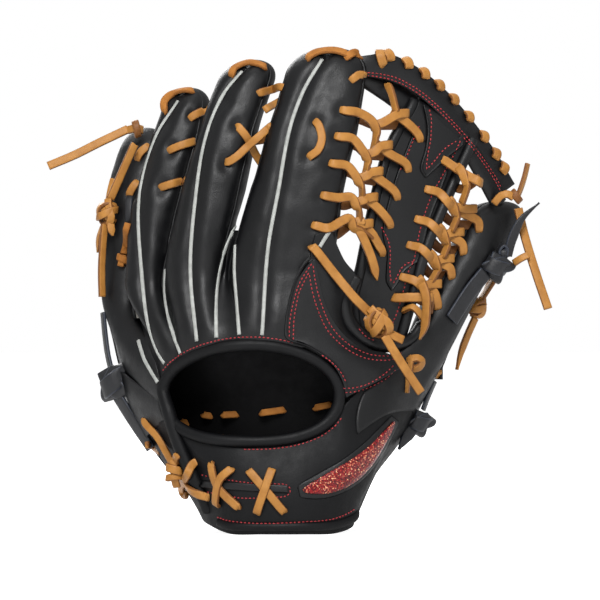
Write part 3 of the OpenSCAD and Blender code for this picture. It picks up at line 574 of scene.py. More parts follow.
back_net = [
    [(38, 8.6, 85), (35.5, 5.5, 96), (28, 2.8, 107.5), (14, 1, 117), (1, 0.6, 122), (0, 1.2, 132),
     (2, 2, 143), (5.6, 3, 155), (11, 4, 166), (16.6, 4.8, 172.5)],
    [(58, 20, 95), (50, 13, 104), (40, 8.5, 111), (28, 5.5, 118.5), (18, 4, 127), (13, 3.6, 140),
     (12.5, 4, 152), (14, 4.4, 163), (17, 4.8, 171)],
    [(78, 35, 106), (64, 27.5, 112.4), (51, 19, 115), (40, 13, 121.5), (31, 9, 132), (24.5, 6.6, 146),
     (21.4, 5.4, 159), (18.4, 4.8, 171)]]


def back_panel_point(u, v):
    """The overlay on the back of the hand; its border is folded over a cord."""
    point = net_point(back_net, u, v)
    point.y -= 0.9 * math.exp(-((u - 0.03) / 0.035) ** 2) + 0.4 * noise.noise(point * 0.05)
    return point


shell.append(sheet("back_panel_leather", 60, 110, back_panel_point, black_leather, "hand", 1.8,
                   replaced="back_panel"))

# ---- Gussets between the fingers ----------------------------------------------------------
# A thin strip of shell leather fills the valley between two fingers up to their crotch.


def gusset_point(left, right, top, sag, u, v):
    a, b = back_point(fingers[left], 0.965, v * top[0]), back_point(fingers[right], 0.035, v * top[1])
    return a + (b - a) * u + Vector((0, sag * math.sin(math.pi * u) * (0.3 + 0.7 * v), 0))


for left, right, top, sag in (("pinky", "ring", (0.50, 0.38), 2), ("ring", "middle", (0.40, 0.33), 2),
                              ("middle", "index", (0.405, 0.40), 3.4)):
    piece = sheet(left + "_" + right + "_gusset", 16, 50,
                  lambda u, v: gusset_point(left, right, top, sag, u, v), black_leather, "hand", 1.2)
    shell.append(piece)
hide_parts("finger_gussets")

# ---- Binding of the hand opening ----------------------------------------------------------
# A roll of thin leather is turned over the edge of the opening and sewn down.
bm = bmesh.new()
bmesh.ops.create_grid(bm, x_segments=160, y_segments=16, size=0.5)
for vert in bm.verts:
    turn, round_it = (vert.co.x + 0.5) * 360, (vert.co.y + 0.5) * 360
    a, b = math.cos(math.radians(turn)), math.sin(math.radians(turn))
    out = Vector((rim_half_h * a, 0, rim_half_w * b)).normalized()
    radius = rim_radius + 0.25 * noise.noise(rim_point(turn) * 0.08)
    vert.co = (rim_point(turn) + out * radius * math.cos(math.radians(round_it))
               + Vector((0, radius, 0)) * math.sin(math.radians(round_it))) * MM
bmesh.ops.remove_doubles(bm, verts=bm.verts, dist=weld)
bmesh.ops.recalc_face_normals(bm, faces=bm.faces)
finish_piece(bm, "opening_roll", binding_leather, "hand", replaced="opening_binding")

# ---- Web ----------------------------------------------------------------------------------
# The web is a doubled leather panel with rolled sides, a broad top band and two cross bars.
web_net = [
    [(48, 41, 121), (45.5, 40, 145), (49.6, 38, 163), (54, 39, 185), (60, 42, 212), (68, 48, 240),
     (82, 57, 266), (84, 63, 273)],
    [(58, 44, 117), (59, 43, 141), (63, 42, 158), (68, 43, 180), (76, 46, 205), (86, 53, 230),
     (99, 62, 255.5), (101, 68, 262)],
    [(68, 47, 116), (74, 47, 137), (79, 47, 154), (85, 49, 176), (94, 53, 198), (104, 60, 221),
     (114, 69, 242.5), (116, 73, 249)]]

# How far the leather's faces stand off the middle of a doubled panel
half_web = 4


def web_point(u, v, lift=0.0):
    return net_point(web_net, u, v) + Vector((0.1, -1, 0.25)).normalized() * (lift + half_web)


shell.append(sheet("web_panel_leather", 30, 90, web_point, black_leather, "hand", 4, replaced="web_panel"))


def tube(name, points, radius, material, body, steps=60, sides=14, **more):
    """A roll of leather along smooth points, closed at its ends."""
    bm = bmesh.new()
    bmesh.ops.create_grid(bm, x_segments=sides, y_segments=steps, size=0.5)
    for vert in bm.verts:
        share, turn = vert.co.y + 0.5, (vert.co.x + 0.5) * 2 * math.pi
        at = along(points, share)
        way = (along(points, min(share + 0.01, 1)) - along(points, max(share - 0.01, 0))).normalized()
        side = way.cross(Vector((0, 1, 0.2))).normalized()
        top = side.cross(way)
        rounding, end = 0.02, min(share, 1 - share)
        closing = math.sqrt(max(0, 1 - (1 - end / rounding) ** 2)) if end < rounding else 1
        grow = (radius(share) if callable(radius) else radius) * max(closing, 0.02)
        vert.co = (at + side * grow * math.cos(turn) + top * grow * math.sin(turn)) * MM
    bmesh.ops.remove_doubles(bm, verts=bm.verts, dist=weld)
    bmesh.ops.holes_fill(bm, edges=bm.edges)
    bmesh.ops.recalc_face_normals(bm, faces=bm.faces)
    return finish_piece(bm, name, material, body, slot="binding", **more)


left_edge = [web_point(0, i / 12 * 0.93, -1.2) + Vector((-2.8, 0, 0)) for i in range(13)]
right_edge = [web_point(1, i / 12 * 0.92, -1.2) + Vector((2.8, 0, 0)) for i in range(13)]
shell.append(tube("web_roll_index_side", left_edge, 3.6, black_leather, "hand", replaced="web_panel_roll"))
shell.append(tube("web_roll_thumb_side", right_edge, 3.6, black_leather, "hand"))

top_net = [
    [(43, 46, 284), (54, 47, 283.5), (71, 53, 279), (89, 59, 267.5), (110.5, 69, 245.5), (127.5, 84, 223.5),
     (135, 92, 210.5)],
    [(43, 45, 296.5), (52, 46, 298), (64, 51, 299), (84.5, 60, 289), (106, 73, 270.5), (130, 87, 241),
     (144.5, 96, 217.5)]]


def top_point(u, v):
    low, high = along(top_net[0], u), along(top_net[1], u)
    point = low + (high - low) * v
    return point + Vector((0.35, -1, 0.3)).normalized() * (half_web + 1.2 * math.sin(math.pi * v))


top_fold = (0.09, 0.06, 0.26), (0.14, 0.09, 0.215)
shell.append(sheet("web_top_leather", 90, 16, top_point, black_leather, top_fold, 4, replaced="web_top_band"))

roll_path = [(45.5, 21, 161), (41.5, 21.5, 154), (38.2, 21.5, 146), (37.6, 22, 138), (41, 23.5, 129.5),
             (49.5, 27, 121.5), (60, 31.5, 117.5), (71, 37.5, 118), (80, 43, 122.5), (86, 48, 131)]


def crotch_roll_radius(share):
    """The roll is fullest round the bottom of the crotch."""
    return 3.4 + 2.0 * math.sin(math.pi * min(share * 1.15, 1))


shell.append(tube("crotch_roll_leather", roll_path, crotch_roll_radius, black_leather, "hand", 110, 20,
                  replaced="crotch_roll"))

# ---- Rolled edges -------------------------------------------------------------------------
# The band's lower edge and the overlapping edge at the little finger's side are rolled over a
# cord and sewn down.
shell.append(tube("band_lower_roll", [net_point(band_net, u, 0.035) + Vector((0, -0.2, 2.9))
                                      for u in (0.215, 0.26, 0.31, 0.36, 0.41, 0.46, 0.51, 0.56, 0.60, 0.65,
                                                0.70)], lambda share: 3.1 - 2.4 * max(share - 0.8, 0) / 0.2,
                  binding_leather, "hand", 90, 16, replaced="band_roll"))
side_path = [rim_point(150), rim_point(165), rim_point(180), (-72.6, 25, 76), (-68.4, 23, 62),
             (-62.4, 21, 46.5), (-56, 20, 33.6), (-50.4, 20.4, 21.6), (-47, 22.4, 13)]
shell.append(tube("overlap_edge_roll", side_path, lambda share: 3.5 + 0.9 * min(share * 2.4, 1),
                  binding_leather, "hand", 110, 16, replaced="overlap_roll"))

# ---- Grey welting -------------------------------------------------------------------------
# A folded strip of pale leather stands up in each seam of the finger backs.
skin = skin_tree(shell)

welt_leather, tree, shader = new_material("welting", "welting")
place = node(tree, "TexCoord", "Object", {})
put_in(tree, shader, {
    "Base Color": mottled(tree, noise_of(tree, place, 260, 4), 0.25, (0.25, 0.26, 0.243, 1),
                          (0.40, 0.41, 0.388, 1)),
    "Normal": relief(tree, noise_of(tree, place, 1400, 3), 0.5, 0.0003),
    "Roughness": 0.6})


def section(bm, samples, ways, outs, half_width, half_height, sides, square, taper=0.0, pinch=(0, 0)):
    """Sweep a rounded flat section along samples; it narrows over taper's share and where it enters holes."""
    count = len(samples) - 1
    bm.loops.layers.uv.verify()
    made = bmesh.ops.create_grid(bm, x_segments=sides, y_segments=count, size=0.5, calc_uvs=True)["verts"]
    for vert in made:
        i = round((vert.co.y + 0.5) * count)
        turn = (vert.co.x + 0.5) * 2 * math.pi
        way = ways[i]
        across = outs[i].cross(way).normalized()
        up = way.cross(across)
        share = i / count
        slim = 1.0
        if taper and share > 1 - taper:
            slim = max(0.12, (1 - share) / taper) ** 0.7
        for reach, end in zip(pinch, (0, -1)):
            if reach:
                slim *= 1 - 0.45 * math.exp(-((samples[i] - samples[end]).length / reach) ** 2)
        offset = (across * half_width * slim * rounded(math.cos(turn), square)
                  + up * half_height * rounded(math.sin(turn), square * 1.2))
        vert.co = (samples[i] + offset) * MM
    bmesh.ops.remove_doubles(bm, verts=made, dist=weld)
    edges = [edge for edge in bm.edges if edge.is_valid and edge.is_boundary]
    bmesh.ops.holes_fill(bm, edges=edges)


def ways_of(samples):
    last = len(samples) - 1
    return [(samples[min(i + 1, last)] - samples[max(i - 1, 0)]).normalized() for i in range(last + 1)]


# Half width, half height, sides and squareness of the strip
welt_shape = (1.25, 0.8, 10, 0.8)


def welt(bm, rows):
    """Welting up a seam through rows of height and x, up to where the seam drops out of sight."""
    samples, outs = [], []
    low, high = rows[0][0], rows[-1][0]
    steps = 70 if high - low > 20 else 16
    for i in range(steps + 1):
        z = low + (high - low) * i / steps
        x = smooth_row(rows, z)[1]
        hit, normal = skin_at(skin, x, z)
        if hit is None:
            continue
        if samples and (hit - samples[-1]).length > 5:
            break
        samples.append(hit + normal * 0.1)
        outs.append(normal)
    for _ in range(2):
        outs = [(outs[max(i - 1, 0)] + outs[i] * 2 + outs[min(i + 1, len(outs) - 1)]).normalized()
                for i in range(len(outs))]
        samples = [(samples[max(i - 1, 0)] + samples[i] * 2 + samples[min(i + 1, len(samples) - 1)]) / 4
                   for i in range(len(samples))]
    section(bm, samples, ways_of(samples), outs, *welt_shape)


for finger, node_name, seams in (
        ("index", "index_welts", [[[123, -14.4], [126, -14], [177, -10.6], [214, -4], [252, 3], [277, 12],
                                   [297, 24]],
                                  [[124, -28.3], [145, -30], [163, -31.4], [180, -31]],
                                  [[178.5, 21.5], [183, 24.2], [188.5, 27.8]]]),
        ("middle", "middle_welts", [[[119, -54.6], [122, -55], [164, -59], [208, -56], [246, -50], [274, -39],
                                     [290, -26]],
                                    [[122, -42.6], [146, -42.8], [163, -41], [180, -36.5], [193, -30.5]]]),
        ("ring", "ring_welts", [[[105, -74.5], [113, -80], [131, -86], [161, -90], [210, -92], [248, -82],
                                 [272, -67]],
                                [[112, -65], [125, -70], [137, -73.7], [149, -75.6], [161, -75.6],
                                 [170, -74.4]]]),
        ("pinky", "pinky_welt", [[[94, -79.5], [107, -87.5], [113, -90], [120, -92.3]]])):
    bm = bmesh.new()
    for seam in seams:
        welt(bm, seam)
    finish_piece(bm, finger + "_welting", welt_leather, "hand", replaced=node_name)
bm = bmesh.new()
samples = [stall_skin(fingers["thumb"], z, 16, 1.8) for z in range(112, 199, 2)]
outs = [(stall_skin(fingers["thumb"], z, 16, 3) - stall_skin(fingers["thumb"], z, 16)).normalized()
        for z in range(112, 199, 2)]
section(bm, samples, ways_of(samples), outs, *welt_shape)
finish_piece(bm, "thumb_welting", welt_leather, "thumb", replaced="thumb_welt")

# ---- Tan rawhide laces --------------------------------------------------------------------
# Flat laces cut from oiled steerhide: smooth and tan on the face, brown and furry on the flesh
# side and along the cut edges. They run through punched holes and end in knots.


def lace_leather(name, slot, face_dark, face_light, flesh, rough):
    material, tree, shader = new_material(name, slot)
    place = node(tree, "TexCoord", "Object", {})
    across = node(tree, "SeparateXYZ", "X", {0: node(tree, "TexCoord", "UV", {})})
    around = node(tree, "Math", 0, {0: across, 1: 0.25}, operation="PINGPONG")
    edge, back = ranged(tree, around, 0.125, 0.09), ranged(tree, across, 0.5, 0.53)
    fur = noise_of(tree, place, 1500, 4, 0.7)
    face = mottled(tree, noise_of(tree, place, 120, 4), 0.2, face_dark, face_light)
    furry = mottled(tree, fur, 0.2, flesh, tuple(c * 1.7 for c in flesh[:3]) + (1,))
    put_in(tree, shader, {
        "Base Color": mixed(tree, larger(tree, edge, back), face, furry),
        "Normal": relief(tree, noise_of(tree, place, 420, 3, 0.6), 0.4, 0.0004,
                         relief(tree, fur, 0.45, 0.00025)),
        "Roughness": rough,
        "Specular IOR Level": 0.26})
    return material


tan_lace = lace_leather("tan_lace", "lace", (0.295, 0.124, 0.024, 1), (0.405, 0.184, 0.040, 1),
                        (0.12, 0.045, 0.010, 1), 0.52)
# Flesh-side lace: the darker flesh side of the rawhide, also used for the stitches inside the hand as painted
# shade
flesh_side_and_shade_lace = lace_leather("tan_lace_flesh_side_and_shade", "lace", (0.23, 0.082, 0.013, 1), (0.38, 0.15, 0.028, 1),
                          (0.18, 0.066, 0.013, 1), 0.8)
black_lace = lace_leather("black_lace", "black_lace", (0.006, 0.0063, 0.0075, 1), (0.012, 0.0124, 0.0145, 1),
                          (0.016, 0.019, 0.027, 1), 0.48)
lace_width, lace_thickness = 5.9, 2.5


def off(point, x, y, z):
    return point + Vector((x, y, z))


def strap(bm, points, facing=(0, -1, 0), width=lace_width, thickness=lace_thickness, clear=None,
          keep=(0.0, 1.0),
          side=-1, taper=0.0, spacing=1.2, pinch=(0, 0)):
    """One length of flat lace through points in millimetres; clear holds the kept share of it that far
    off the leather, and pinch narrows it where it enters its holes."""
    points = [Vector(p) for p in points]
    facing = [facing] * len(points) if isinstance(facing[0], (int, float)) else facing
    faces = [Vector(f) for f in facing]
    length = sum((points[i + 1] - points[i]).length for i in range(len(points) - 1))
    count = max(6, round(length / spacing))
    samples = [along(points, i / count) for i in range(count + 1)]
    outs = [along(faces, i / count).normalized() for i in range(count + 1)]
    if clear is not None:
        for _ in range(3):
            for i in range(count + 1):
                if keep[0] <= i / count <= keep[1]:
                    hit, normal = skin_at(skin, samples[i].x, samples[i].z, side)
                    if hit is not None and (samples[i].y - hit.y) * side < clear:
                        samples[i].y = hit.y + side * clear
            middle = [s.copy() for s in samples]
            for i in range(1, count):
                samples[i].y = (middle[i - 1].y + middle[i].y * 2 + middle[i + 1].y) / 4
    section(bm, samples, ways_of(samples), outs, width / 2, thickness / 2, 14, 0.42, taper, pinch)
    return samples


def leather_point(x, z, lift=0.0, side=-1):
    """Point over the leather; side is -1 on the back of the glove and 1 on the pocket side."""
    hit, normal = skin_at(skin, x, z, side)
    if hit is None:
        return Vector((x, 40, z))
    return hit + normal * lift


def laid(bm, places, lift=1.0, width=lace_width, side=-1, **more):
    """A lace lying on the leather between two holes, sunk into them at its ends."""
    sink, hole_size = 3.0, 1.2
    places = [Vector(p) for p in places]
    first, last = places[0], places[-1]
    start = (places[1] - first).normalized() * hole_size
    stop = (last - places[-2]).normalized() * hole_size
    points = [leather_point(first.x - start.x, first.y - start.y, -sink, side),
              leather_point(first.x + start.x * 0.6, first.y + start.y * 0.6, lift, side)]
    points += [leather_point(p.x, p.y, lift + 0.6, side) for p in places[1:-1]]
    points += [leather_point(last.x - stop.x * 0.6, last.y - stop.y * 0.6, lift, side),
               leather_point(last.x + stop.x, last.y + stop.y, -sink, side)]
    normals = [skin_at(skin, p.x, p.z, side)[1] for p in points]
    return strap(bm, points, normals, width, side=side, pinch=(2.6, 2.6), **more)


def knot_frame(centre, way, facing, size=1.0):
    """Three square directions at a knot, and a function for a place counted along them."""
    way, facing = Vector(way).normalized(), Vector(facing).normalized()
    across = facing.cross(way).normalized()
    facing = way.cross(across)

    def at(a, b, c):
        return Vector(centre) + (way * a + across * b + facing * c) * size
    return way, across, facing, at


def wrap(bm, centre, way, facing, radius, width=lace_width, deep=0.8, slant=0.0):
    """A turn of lace round a knot: a closed band about the way through it."""
    way, across, facing, _ = knot_frame(centre, way, facing)
    made = bmesh.ops.create_grid(bm, x_segments=14, y_segments=28, size=0.5, calc_uvs=True)["verts"]
    for vert in made:
        turn, ring = (vert.co.y + 0.5) * 2 * math.pi, (vert.co.x + 0.5) * 2 * math.pi
        out = across * math.cos(turn) + facing * math.sin(turn) * deep
        spine = Vector(centre) + out * radius + way * slant * math.cos(turn)
        wide, thick = rounded(math.cos(ring), 0.45), rounded(math.sin(ring), 0.55)
        offset = way * width / 2 * wide + out.normalized() * lace_thickness / 2 * thick
        vert.co = (spine + offset) * MM
    bmesh.ops.remove_doubles(bm, verts=made, dist=weld)


def knot(bm, centre, way, facing, size, width):
    """An overhand knot pulled tight: a lobe of lace each side and one turn across them."""
    way, across, facing, at = knot_frame(centre, way, facing, size)
    width *= 0.9
    strap(bm, [at(-8, 0, 0.5), at(-4, 1.2, 2.2), at(1.5, 3.6, 3.4), at(5.5, 2.6, 2), at(6.2, -0.6, -0.6),
               at(4, -3.2, -2.4)],
          [facing, facing, facing + across * 0.5, facing * 0.5 + way, way, way - facing], width)
    strap(bm, [at(3.5, -4.6, -1.2), at(0, -4.9, 1.2), at(-3.6, -3.6, 2.2), at(-5.4, 0, 1.2),
               at(-4.6, 3.6, -0.6), at(-1, 4.4, -2.2)],
          [-across, facing * 0.6 - across, facing * 0.5 - across - way * 0.3, -way, across - way * 0.4,
           across], width)
    strap(bm, [at(-2.4, 5.0, -2), at(-2.0, 4.2, 1.6), at(-0.4, 1.4, 4.0), at(1.6, -2.2, 3.9),
               at(2.6, -4.8, 1.2), at(2.4, -5.0, -2)],
          [across, facing + across, facing, facing, facing - across, -across], width)
    strap(bm, [at(-5, -3.6, -1.4), at(-3, -1.6, 1.6), at(0, 0.4, 2.6), at(3, 2.4, 1.6), at(4.6, 4, -1.4)],
          [facing - way, facing, facing, facing, facing + way], width)
    strap(bm, [at(3, 0, -1.5), at(8, 0, 0)], facing, width)


def flat_knot(bm, centre, way, facing, size, width):
    """A broad lace folded over itself into a flat five-sided knot."""
    way, across, facing, at = knot_frame(centre, way, facing, size)
    thickness = 2.4
    strap(bm, [at(-7, -3, 0), at(-3, -2, 1.5), at(2.5, 0.5, 3.2), at(7, 3.2, 1.5), at(8, 3.6, -1.5)],
          [facing, facing, facing, facing + way, way], width, thickness)
    strap(bm, [at(7.6, -4.4, -1.5), at(5.5, -4, 1), at(0, -0.8, 2.2), at(-5.5, 4.4, 1.6), at(-7, 5.4, -1.5)],
          [way, facing + way * 0.5, facing, facing - way * 0.5, -way], width, thickness)
    strap(bm, [at(-3, 7, -2), at(-2, 5.8, 1.5), at(0, 1, 5.0), at(2, -5.0, 3.6), at(2.4, -7.6, -1)],
          [across, facing + across, facing, facing - across, -across], width * 0.92, thickness)


# ---- Lattice between the index finger and the web -----------------------------------------
# Five turns of one lace: each leaves a hole in the finger, doubles back over the next, and
# goes on through a hole in the web panel.
bm = bmesh.new()
index_holes = [(36.6, 263.8), (33.1, 247.5), (29.4, 230.6), (24.4, 210.6), (18.8, 191.9)]
left_bends = [(57.5, 256), (51.9, 237.5), (46.9, 222.5), (45.2, 207.5), (43.5, 194.5)]
left_ends = [(76.0, 262.5), (65.6, 242.6), (59.6, 226.2), (56.4, 210), (53.4, 193.6)]
web_holes = [(84.4, 246), (76.9, 226.8), (70, 209.3), (65.6, 191.8), (60.6, 175)]


def lattice_point(place, dx, dz, lift, start, stop):
    """A place moved by dx and dz, lifted off the straight line from one lace hole to the other."""
    x, z = place[0] + dx, place[-1] + dz
    share = min(max((x - start.x) / (stop.x - start.x), 0), 1)
    return Vector((x, start.y + (stop.y - start.y) * share - lift, z))


for k in range(5):
    hole = leather_point(*index_holes[k])
    panel = leather_point(*web_holes[k])
    bend, end = left_bends[k], left_ends[k]

    def point(place, dx, dz, lift):
        return lattice_point(place, dx, dz, lift, hole, panel)

    down = left_bends[k + 1] if k < 4 else (52, 182)
    strap(bm, [off(hole, -3, 3, 1), off(hole, 1, -1.6, 0), point(hole, 9, -1.2, 2.4),
               point(bend, -4, 2.2, 3.6), point(bend, -0.4, -4, 3.2),
               point((bend[0] * 0.5 + down[0] * 0.5, (bend[1] + down[1]) / 2), 2, 0, 2.0),
               point(down, 3.2, 1, 0.0)],
          [(-0.5, -1, 0), (0, -1, 0.2), (0.1, -1, 0.2), (0.1, -1, 0.1), (-0.5, -1, -0.1), (-1, -0.7, 0),
           (-0.9, -0.7, 0)], clear=1.1, keep=(0.1, 0.5), pinch=(4.5, 0))
    strap(bm, [point(bend, -3.5, -2.6, -2.5), point(bend, -1.4, -1.2, 0.4), point(bend, 4, 0.6, 3.4),
               point(end, -6, -1, 4.0), point(end, -0.6, 0, 3.4), point(end, 0.8, 0, 0.6),
               point(end, -1.5, -0.4, -1.6)],
          [(-1, -0.6, 0), (-0.5, -1, 0.1), (0, -1, 0.1), (0, -1, 0), (0.2, -1, 0), (1, -0.2, 0), (0.6, 1, 0)],
          clear=1.1, keep=(0.2, 0.8))
    strap(bm, [point(end, -9.5, 1.2, -1.5), point(end, -5.5, -1.5, 1.2), point(end, 0.5, -6, 2.6),
               point(panel, -2.2, 5, 2.2), off(panel, 0.2, -1.4, 0.8), off(panel, 0.4, 3, -3)],
          [(0, -1, 0), (0, -1, 0.1), (0.2, -1, 0.2), (0.3, -1, 0.2), (0.3, -1, 0), (0.2, -0.6, -1)],
          clear=1.1, keep=(0.2, 0.86), pinch=(0, 5))
    strap(bm, [off(hole, 3, 10, -3), point(hole, 12, -6, -7), point(bend, 0, -1, -5), point(end, 2, -8, -7),
               off(panel, 0, 9, 0)], (0, 1, 0))
strap(bm, [(63.6, 50, 281), (65.6, 41.5, 278), (67.6, 38.5, 272), (69.6, 38.5, 263.5)],
      [(-0.4, -0.6, 0.8), (-0.7, -0.8, 0.2), (-0.75, -0.7, 0), (-0.6, -0.8, 0)], 5.2, pinch=(4, 0))
strap(bm, [(38, 26, 196), (42.5, 26, 193.5), (47, 25.5, 188), (51.6, 27, 178), (55.2, 29, 168),
           (57.4, 31, 158)],
      [(0, -1, 0.3), (0, -1, 0.2), (0.2, -1, 0), (0.4, -1, 0), (0.4, -1, 0), (0.4, -1, 0)], clear=1.2,
      keep=(0.1, 1), taper=0.12)
finish_piece(bm, "index_lattice_lace", tan_lace, "hand", replaced="web_lace_index")

# ---- Lattice between the web and the thumb ------------------------------------------------
# The same lacing on the thumb's side, from the cross bar down to the crotch.
lattice_fold = (0.085, 0.05, 0.19), (0.112, 0.06, 0.17)
bm = bmesh.new()
panel_holes = [(99.4, 232.8), (89.4, 214.6), (83.1, 195.8), (78.1, 179.6), (73.8, 159.6), (69.4, 146.4)]
right_bends = [(112, 224.5), (106.3, 204.5), (100, 187), (94.5, 170.6), (86.9, 155)]
right_ends = [(122.5, 220), (119.4, 202.8), (111.3, 188.2), (105, 171.6), (96.9, 155.6)]
thumb_holes = [(122, 219.6), (121.9, 189.6), (111.9, 175.2), (104.4, 159.6), (95.6, 141)]
for k in range(5):
    hole = leather_point(*panel_holes[k])
    rest = leather_point(*thumb_holes[k])
    bend, end = right_bends[k], right_ends[k]

    def point(place, dx, dz, lift):
        return lattice_point(place, dx, dz, lift, hole, rest)

    if k == 0:
        strap(bm, [off(hole, -2.4, 3, 1), off(hole, 0.8, -1.8, 0.2), point((106, 229), 0, 0, 3.2),
                   point((114, 223.6), 0, 0, 3.0), off(rest, -1.5, -1.4, 0.6), off(rest, 1, 3, -1)],
              (0.1, -1, 0.2), clear=1.1, keep=(0.12, 0.9))
    else:
        strap(bm, [off(hole, -2.4, 3, 1), off(hole, 0.8, -1.8, 0), point(hole, 8, -2.4, 3.0),
                   point(bend, -0.5, -2.5, 2.2), point(bend, 1.5, -7, 0)],
              [(-0.4, -1, 0), (0, -1, 0.2), (0.1, -1, 0.2), (0, -1, 0), (-0.3, -1, 0)], clear=1.1,
              keep=(0.12, 0.8), pinch=(4.5, 0))
        strap(bm, [point(bend, -3.5, -2, -2), point(bend, 1, -0.6, 1.8), point(end, -5, -0.2, 3.2),
                   point(end, -0.6, 0, 2.4), point(end, 0.6, 0, 0), point(end, -2, 0, -2)],
              [(-0.5, -1, 0), (0, -1, 0), (0, -1, 0), (0.3, -1, 0), (1, 0, 0), (0.6, 1, 0)], clear=1.1,
              keep=(0.2, 0.8))
        strap(bm, [point(end, -9, -2.4, 0), point(end, -4, -4.4, 1.8), point(rest, -0.6, 5.5, 2.6),
                   off(rest, 0.4, -1.4, 0.8), off(rest, 0, 3, -2.4)],
              [(0, -1, 0), (0, -1, 0.1), (0.3, -1, 0.2), (0.3, -1, 0), (0, -0.7, -1)], clear=1.1,
              keep=(0.2, 0.86), pinch=(0, 4.5))
    after = right_bends[k + 1] if k < 4 else (86, 136)
    strap(bm, [point(bend, -4.6, 5.0, 0.8), point(bend, -1.6, 2.2, 4.6), point(bend, 1.4, -5, 4.2),
               point(((bend[0] + after[0]) / 2, (bend[1] + after[1]) / 2), 5, 1, 3.4),
               point(after, 4.6, 1.5, 1.2)],
          [(0, -1, 0.3), (-0.2, -1, 0.2), (-0.7, -0.8, 0), (-1, -0.6, 0), (-0.9, -0.6, 0)], clear=1.3,
          keep=(0.1, 0.8))
    strap(bm, [off(hole, 0, 9, 0), point(bend, -3, -9, -8), point(rest, 0, 2, -5)], (0, 1, 0))
low = leather_point(*panel_holes[5])
strap(bm, [off(low, -2.4, 3, 1), off(low, 0.8, -2, 0.4), off(low, 9, -4.5, 0.8), off(low, 18, -4.6, 0.8),
           off(low, 21.8, -3.6, 0.8), off(low, 22.4, -1, 0.8)],
      [(-0.4, -1, 0.2), (0, -1, 0.2), (0, -1, 0.1), (0, -1, 0), (0.4, -1, 0), (1, 0, 0)], clear=1.2,
      keep=(0.1, 1))
strap(bm, [(85.5, 34, 156), (88, 30, 149), (88.5, 31, 140), (87.4, 33, 129), (84.5, 36, 121)],
      [(-0.3, -1, 0), (-0.4, -1, 0), (-0.7, -1, 0), (-0.6, -1, 0), (-0.5, -1, 0)], clear=1.2, taper=0.3)
strap(bm, [(74, 42, 139), (80, 36, 141), (85, 37, 136), (88, 40, 131)], (0, -0.8, 0.6), 4.6)
finish_piece(bm, "thumb_lattice_lace", tan_lace, lattice_fold, replaced="web_lace_thumb")

# ---- Lacing over the edge of the top band -------------------------------------------------
# A lace is whipped over the outer edge of the band, through a row of holes.
bm = bmesh.new()
for k in range(9):
    u = 0.315 + 0.595 * (k / 8) ** 0.83
    edge, inner = top_point(u, 1), top_point(u, 0)
    up = (edge - inner).normalized()
    way = (top_point(min(u + 0.02, 1), 1) - top_point(u - 0.02, 1)).normalized()
    out = way.cross(up).normalized()
    if out.y > 0:
        out = -out
    tip = edge + way * 0.6
    strap(bm, [tip - up * 5.2 - out * 2, tip - up * 4.5 + out * 1.4, tip - up * 2.4 + out * 2.2 + way * 0.3,
               tip - up * 0.2 + out * 1.6, tip + up * 1.3 - out * 1.8, tip - up * 0.4 - out * 5.6,
               tip - up * 4 - out * 6.0, tip - up * 5.6 - out * 3],
          [up - out, out + up * 0.2, out, out + up * 0.8, up, up * 0.6 - out, -out, -out], width=6.2,
          spacing=1.1)
tip = top_point(0.282, 1)
strap(bm, [off(tip, 1, 1, -8), off(tip, 0.5, -2, -7), off(tip, -1, -2.6, -2), off(tip, -1.5, 0.5, 0.8),
           off(tip, -1.5, 5, -1)], [(0, -1, 0), (0, -1, 0.2), (0, -1, 0.5), (0, 0, 1), (0, 1, 0)],
      spacing=1.1)
finish_piece(bm, "top_edge_lace", tan_lace, top_fold, replaced="web_edge_lace")

# ---- Lacing through the fingers -----------------------------------------------------------
# Short laces tie finger to finger and pass over each fingertip, the flesh side outward there.
bm = bmesh.new()
laid(bm, [(-76, 264.5), (-74.8, 271), (-68, 275.8), (-59, 277)], 1.1, width=5)
laid(bm, [(-33.5, 286.5), (-30.6, 290.5), (-22, 293.5), (-13, 291.5)], 1.1, width=5)
laid(bm, [(14.5, 296.5), (20.6, 299.6), (30, 300.6), (38, 299)], 1.1, width=6)
laid(bm, [(38.5, 297), (43, 299), (47, 297.5)], 1.2, width=5)
finish_piece(bm, "fingertip_lacing", flesh_side_and_shade_lace, "hand", replaced="fingertip_laces")

bm = bmesh.new()
for places in ([(-59.4, 260), (-55, 263.4), (-49, 265.6)], [(-72.5, 239.2), (-65, 242.6), (-58, 245.4)],
               [(-77.8, 216.4), (-71, 218.6), (-64, 220.8)], [(-16, 275.4), (-8.8, 278.2), (-1.5, 278.6)],
               [(-93.8, 234.4), (-91, 239), (-87, 242.6)], [(-98.8, 211.4), (-96.4, 216), (-93.8, 219.6)],
               [(19.2, 257), (22, 252.6), (23, 246), (20.8, 239), (15.6, 234.8)],
               [(41.6, 283), (45, 285.8), (49, 286.4)]):
    laid(bm, places, 1.0, width=5.2)
strap(bm, [leather_point(-12.8, 264.4, -3), leather_point(-11, 265.6, 1.4), (-7, 50, 268), (-2.6, 54, 270.6)],
      (0, -1, 0.2), 5)
under = [leather_point(-29.8, 254.6, -3), leather_point(-28.4, 252.6, 1.1), leather_point(-24, 246, 1.4),
         (-18.6, 38, 237), (-14.4, 42, 230.6)]
strap(bm, under, (0, -1, 0), 5.2, clear=1.1, keep=(0.12, 0.8))
strap(bm, [leather_point(-37.2, 231.6, -3), leather_point(-35, 232.4, 1.2), leather_point(-30.6, 235.8, 2.4),
           (-24, 31, 241), (-17, 29, 247), (-10.4, 32, 252.8), (-7.6, 36, 255)],
      [(-0.4, -1, 0), (0, -1, 0), (0, -1, 0), (0.2, -1, 0.3), (0.2, -1, 0.3), (0, -1, 0.1), (0, -1, 0)], 5.2,
      clear=1.3, keep=(0.1, 0.9))
finish_piece(bm, "finger_lacing", tan_lace, "hand", replaced="finger_laces")

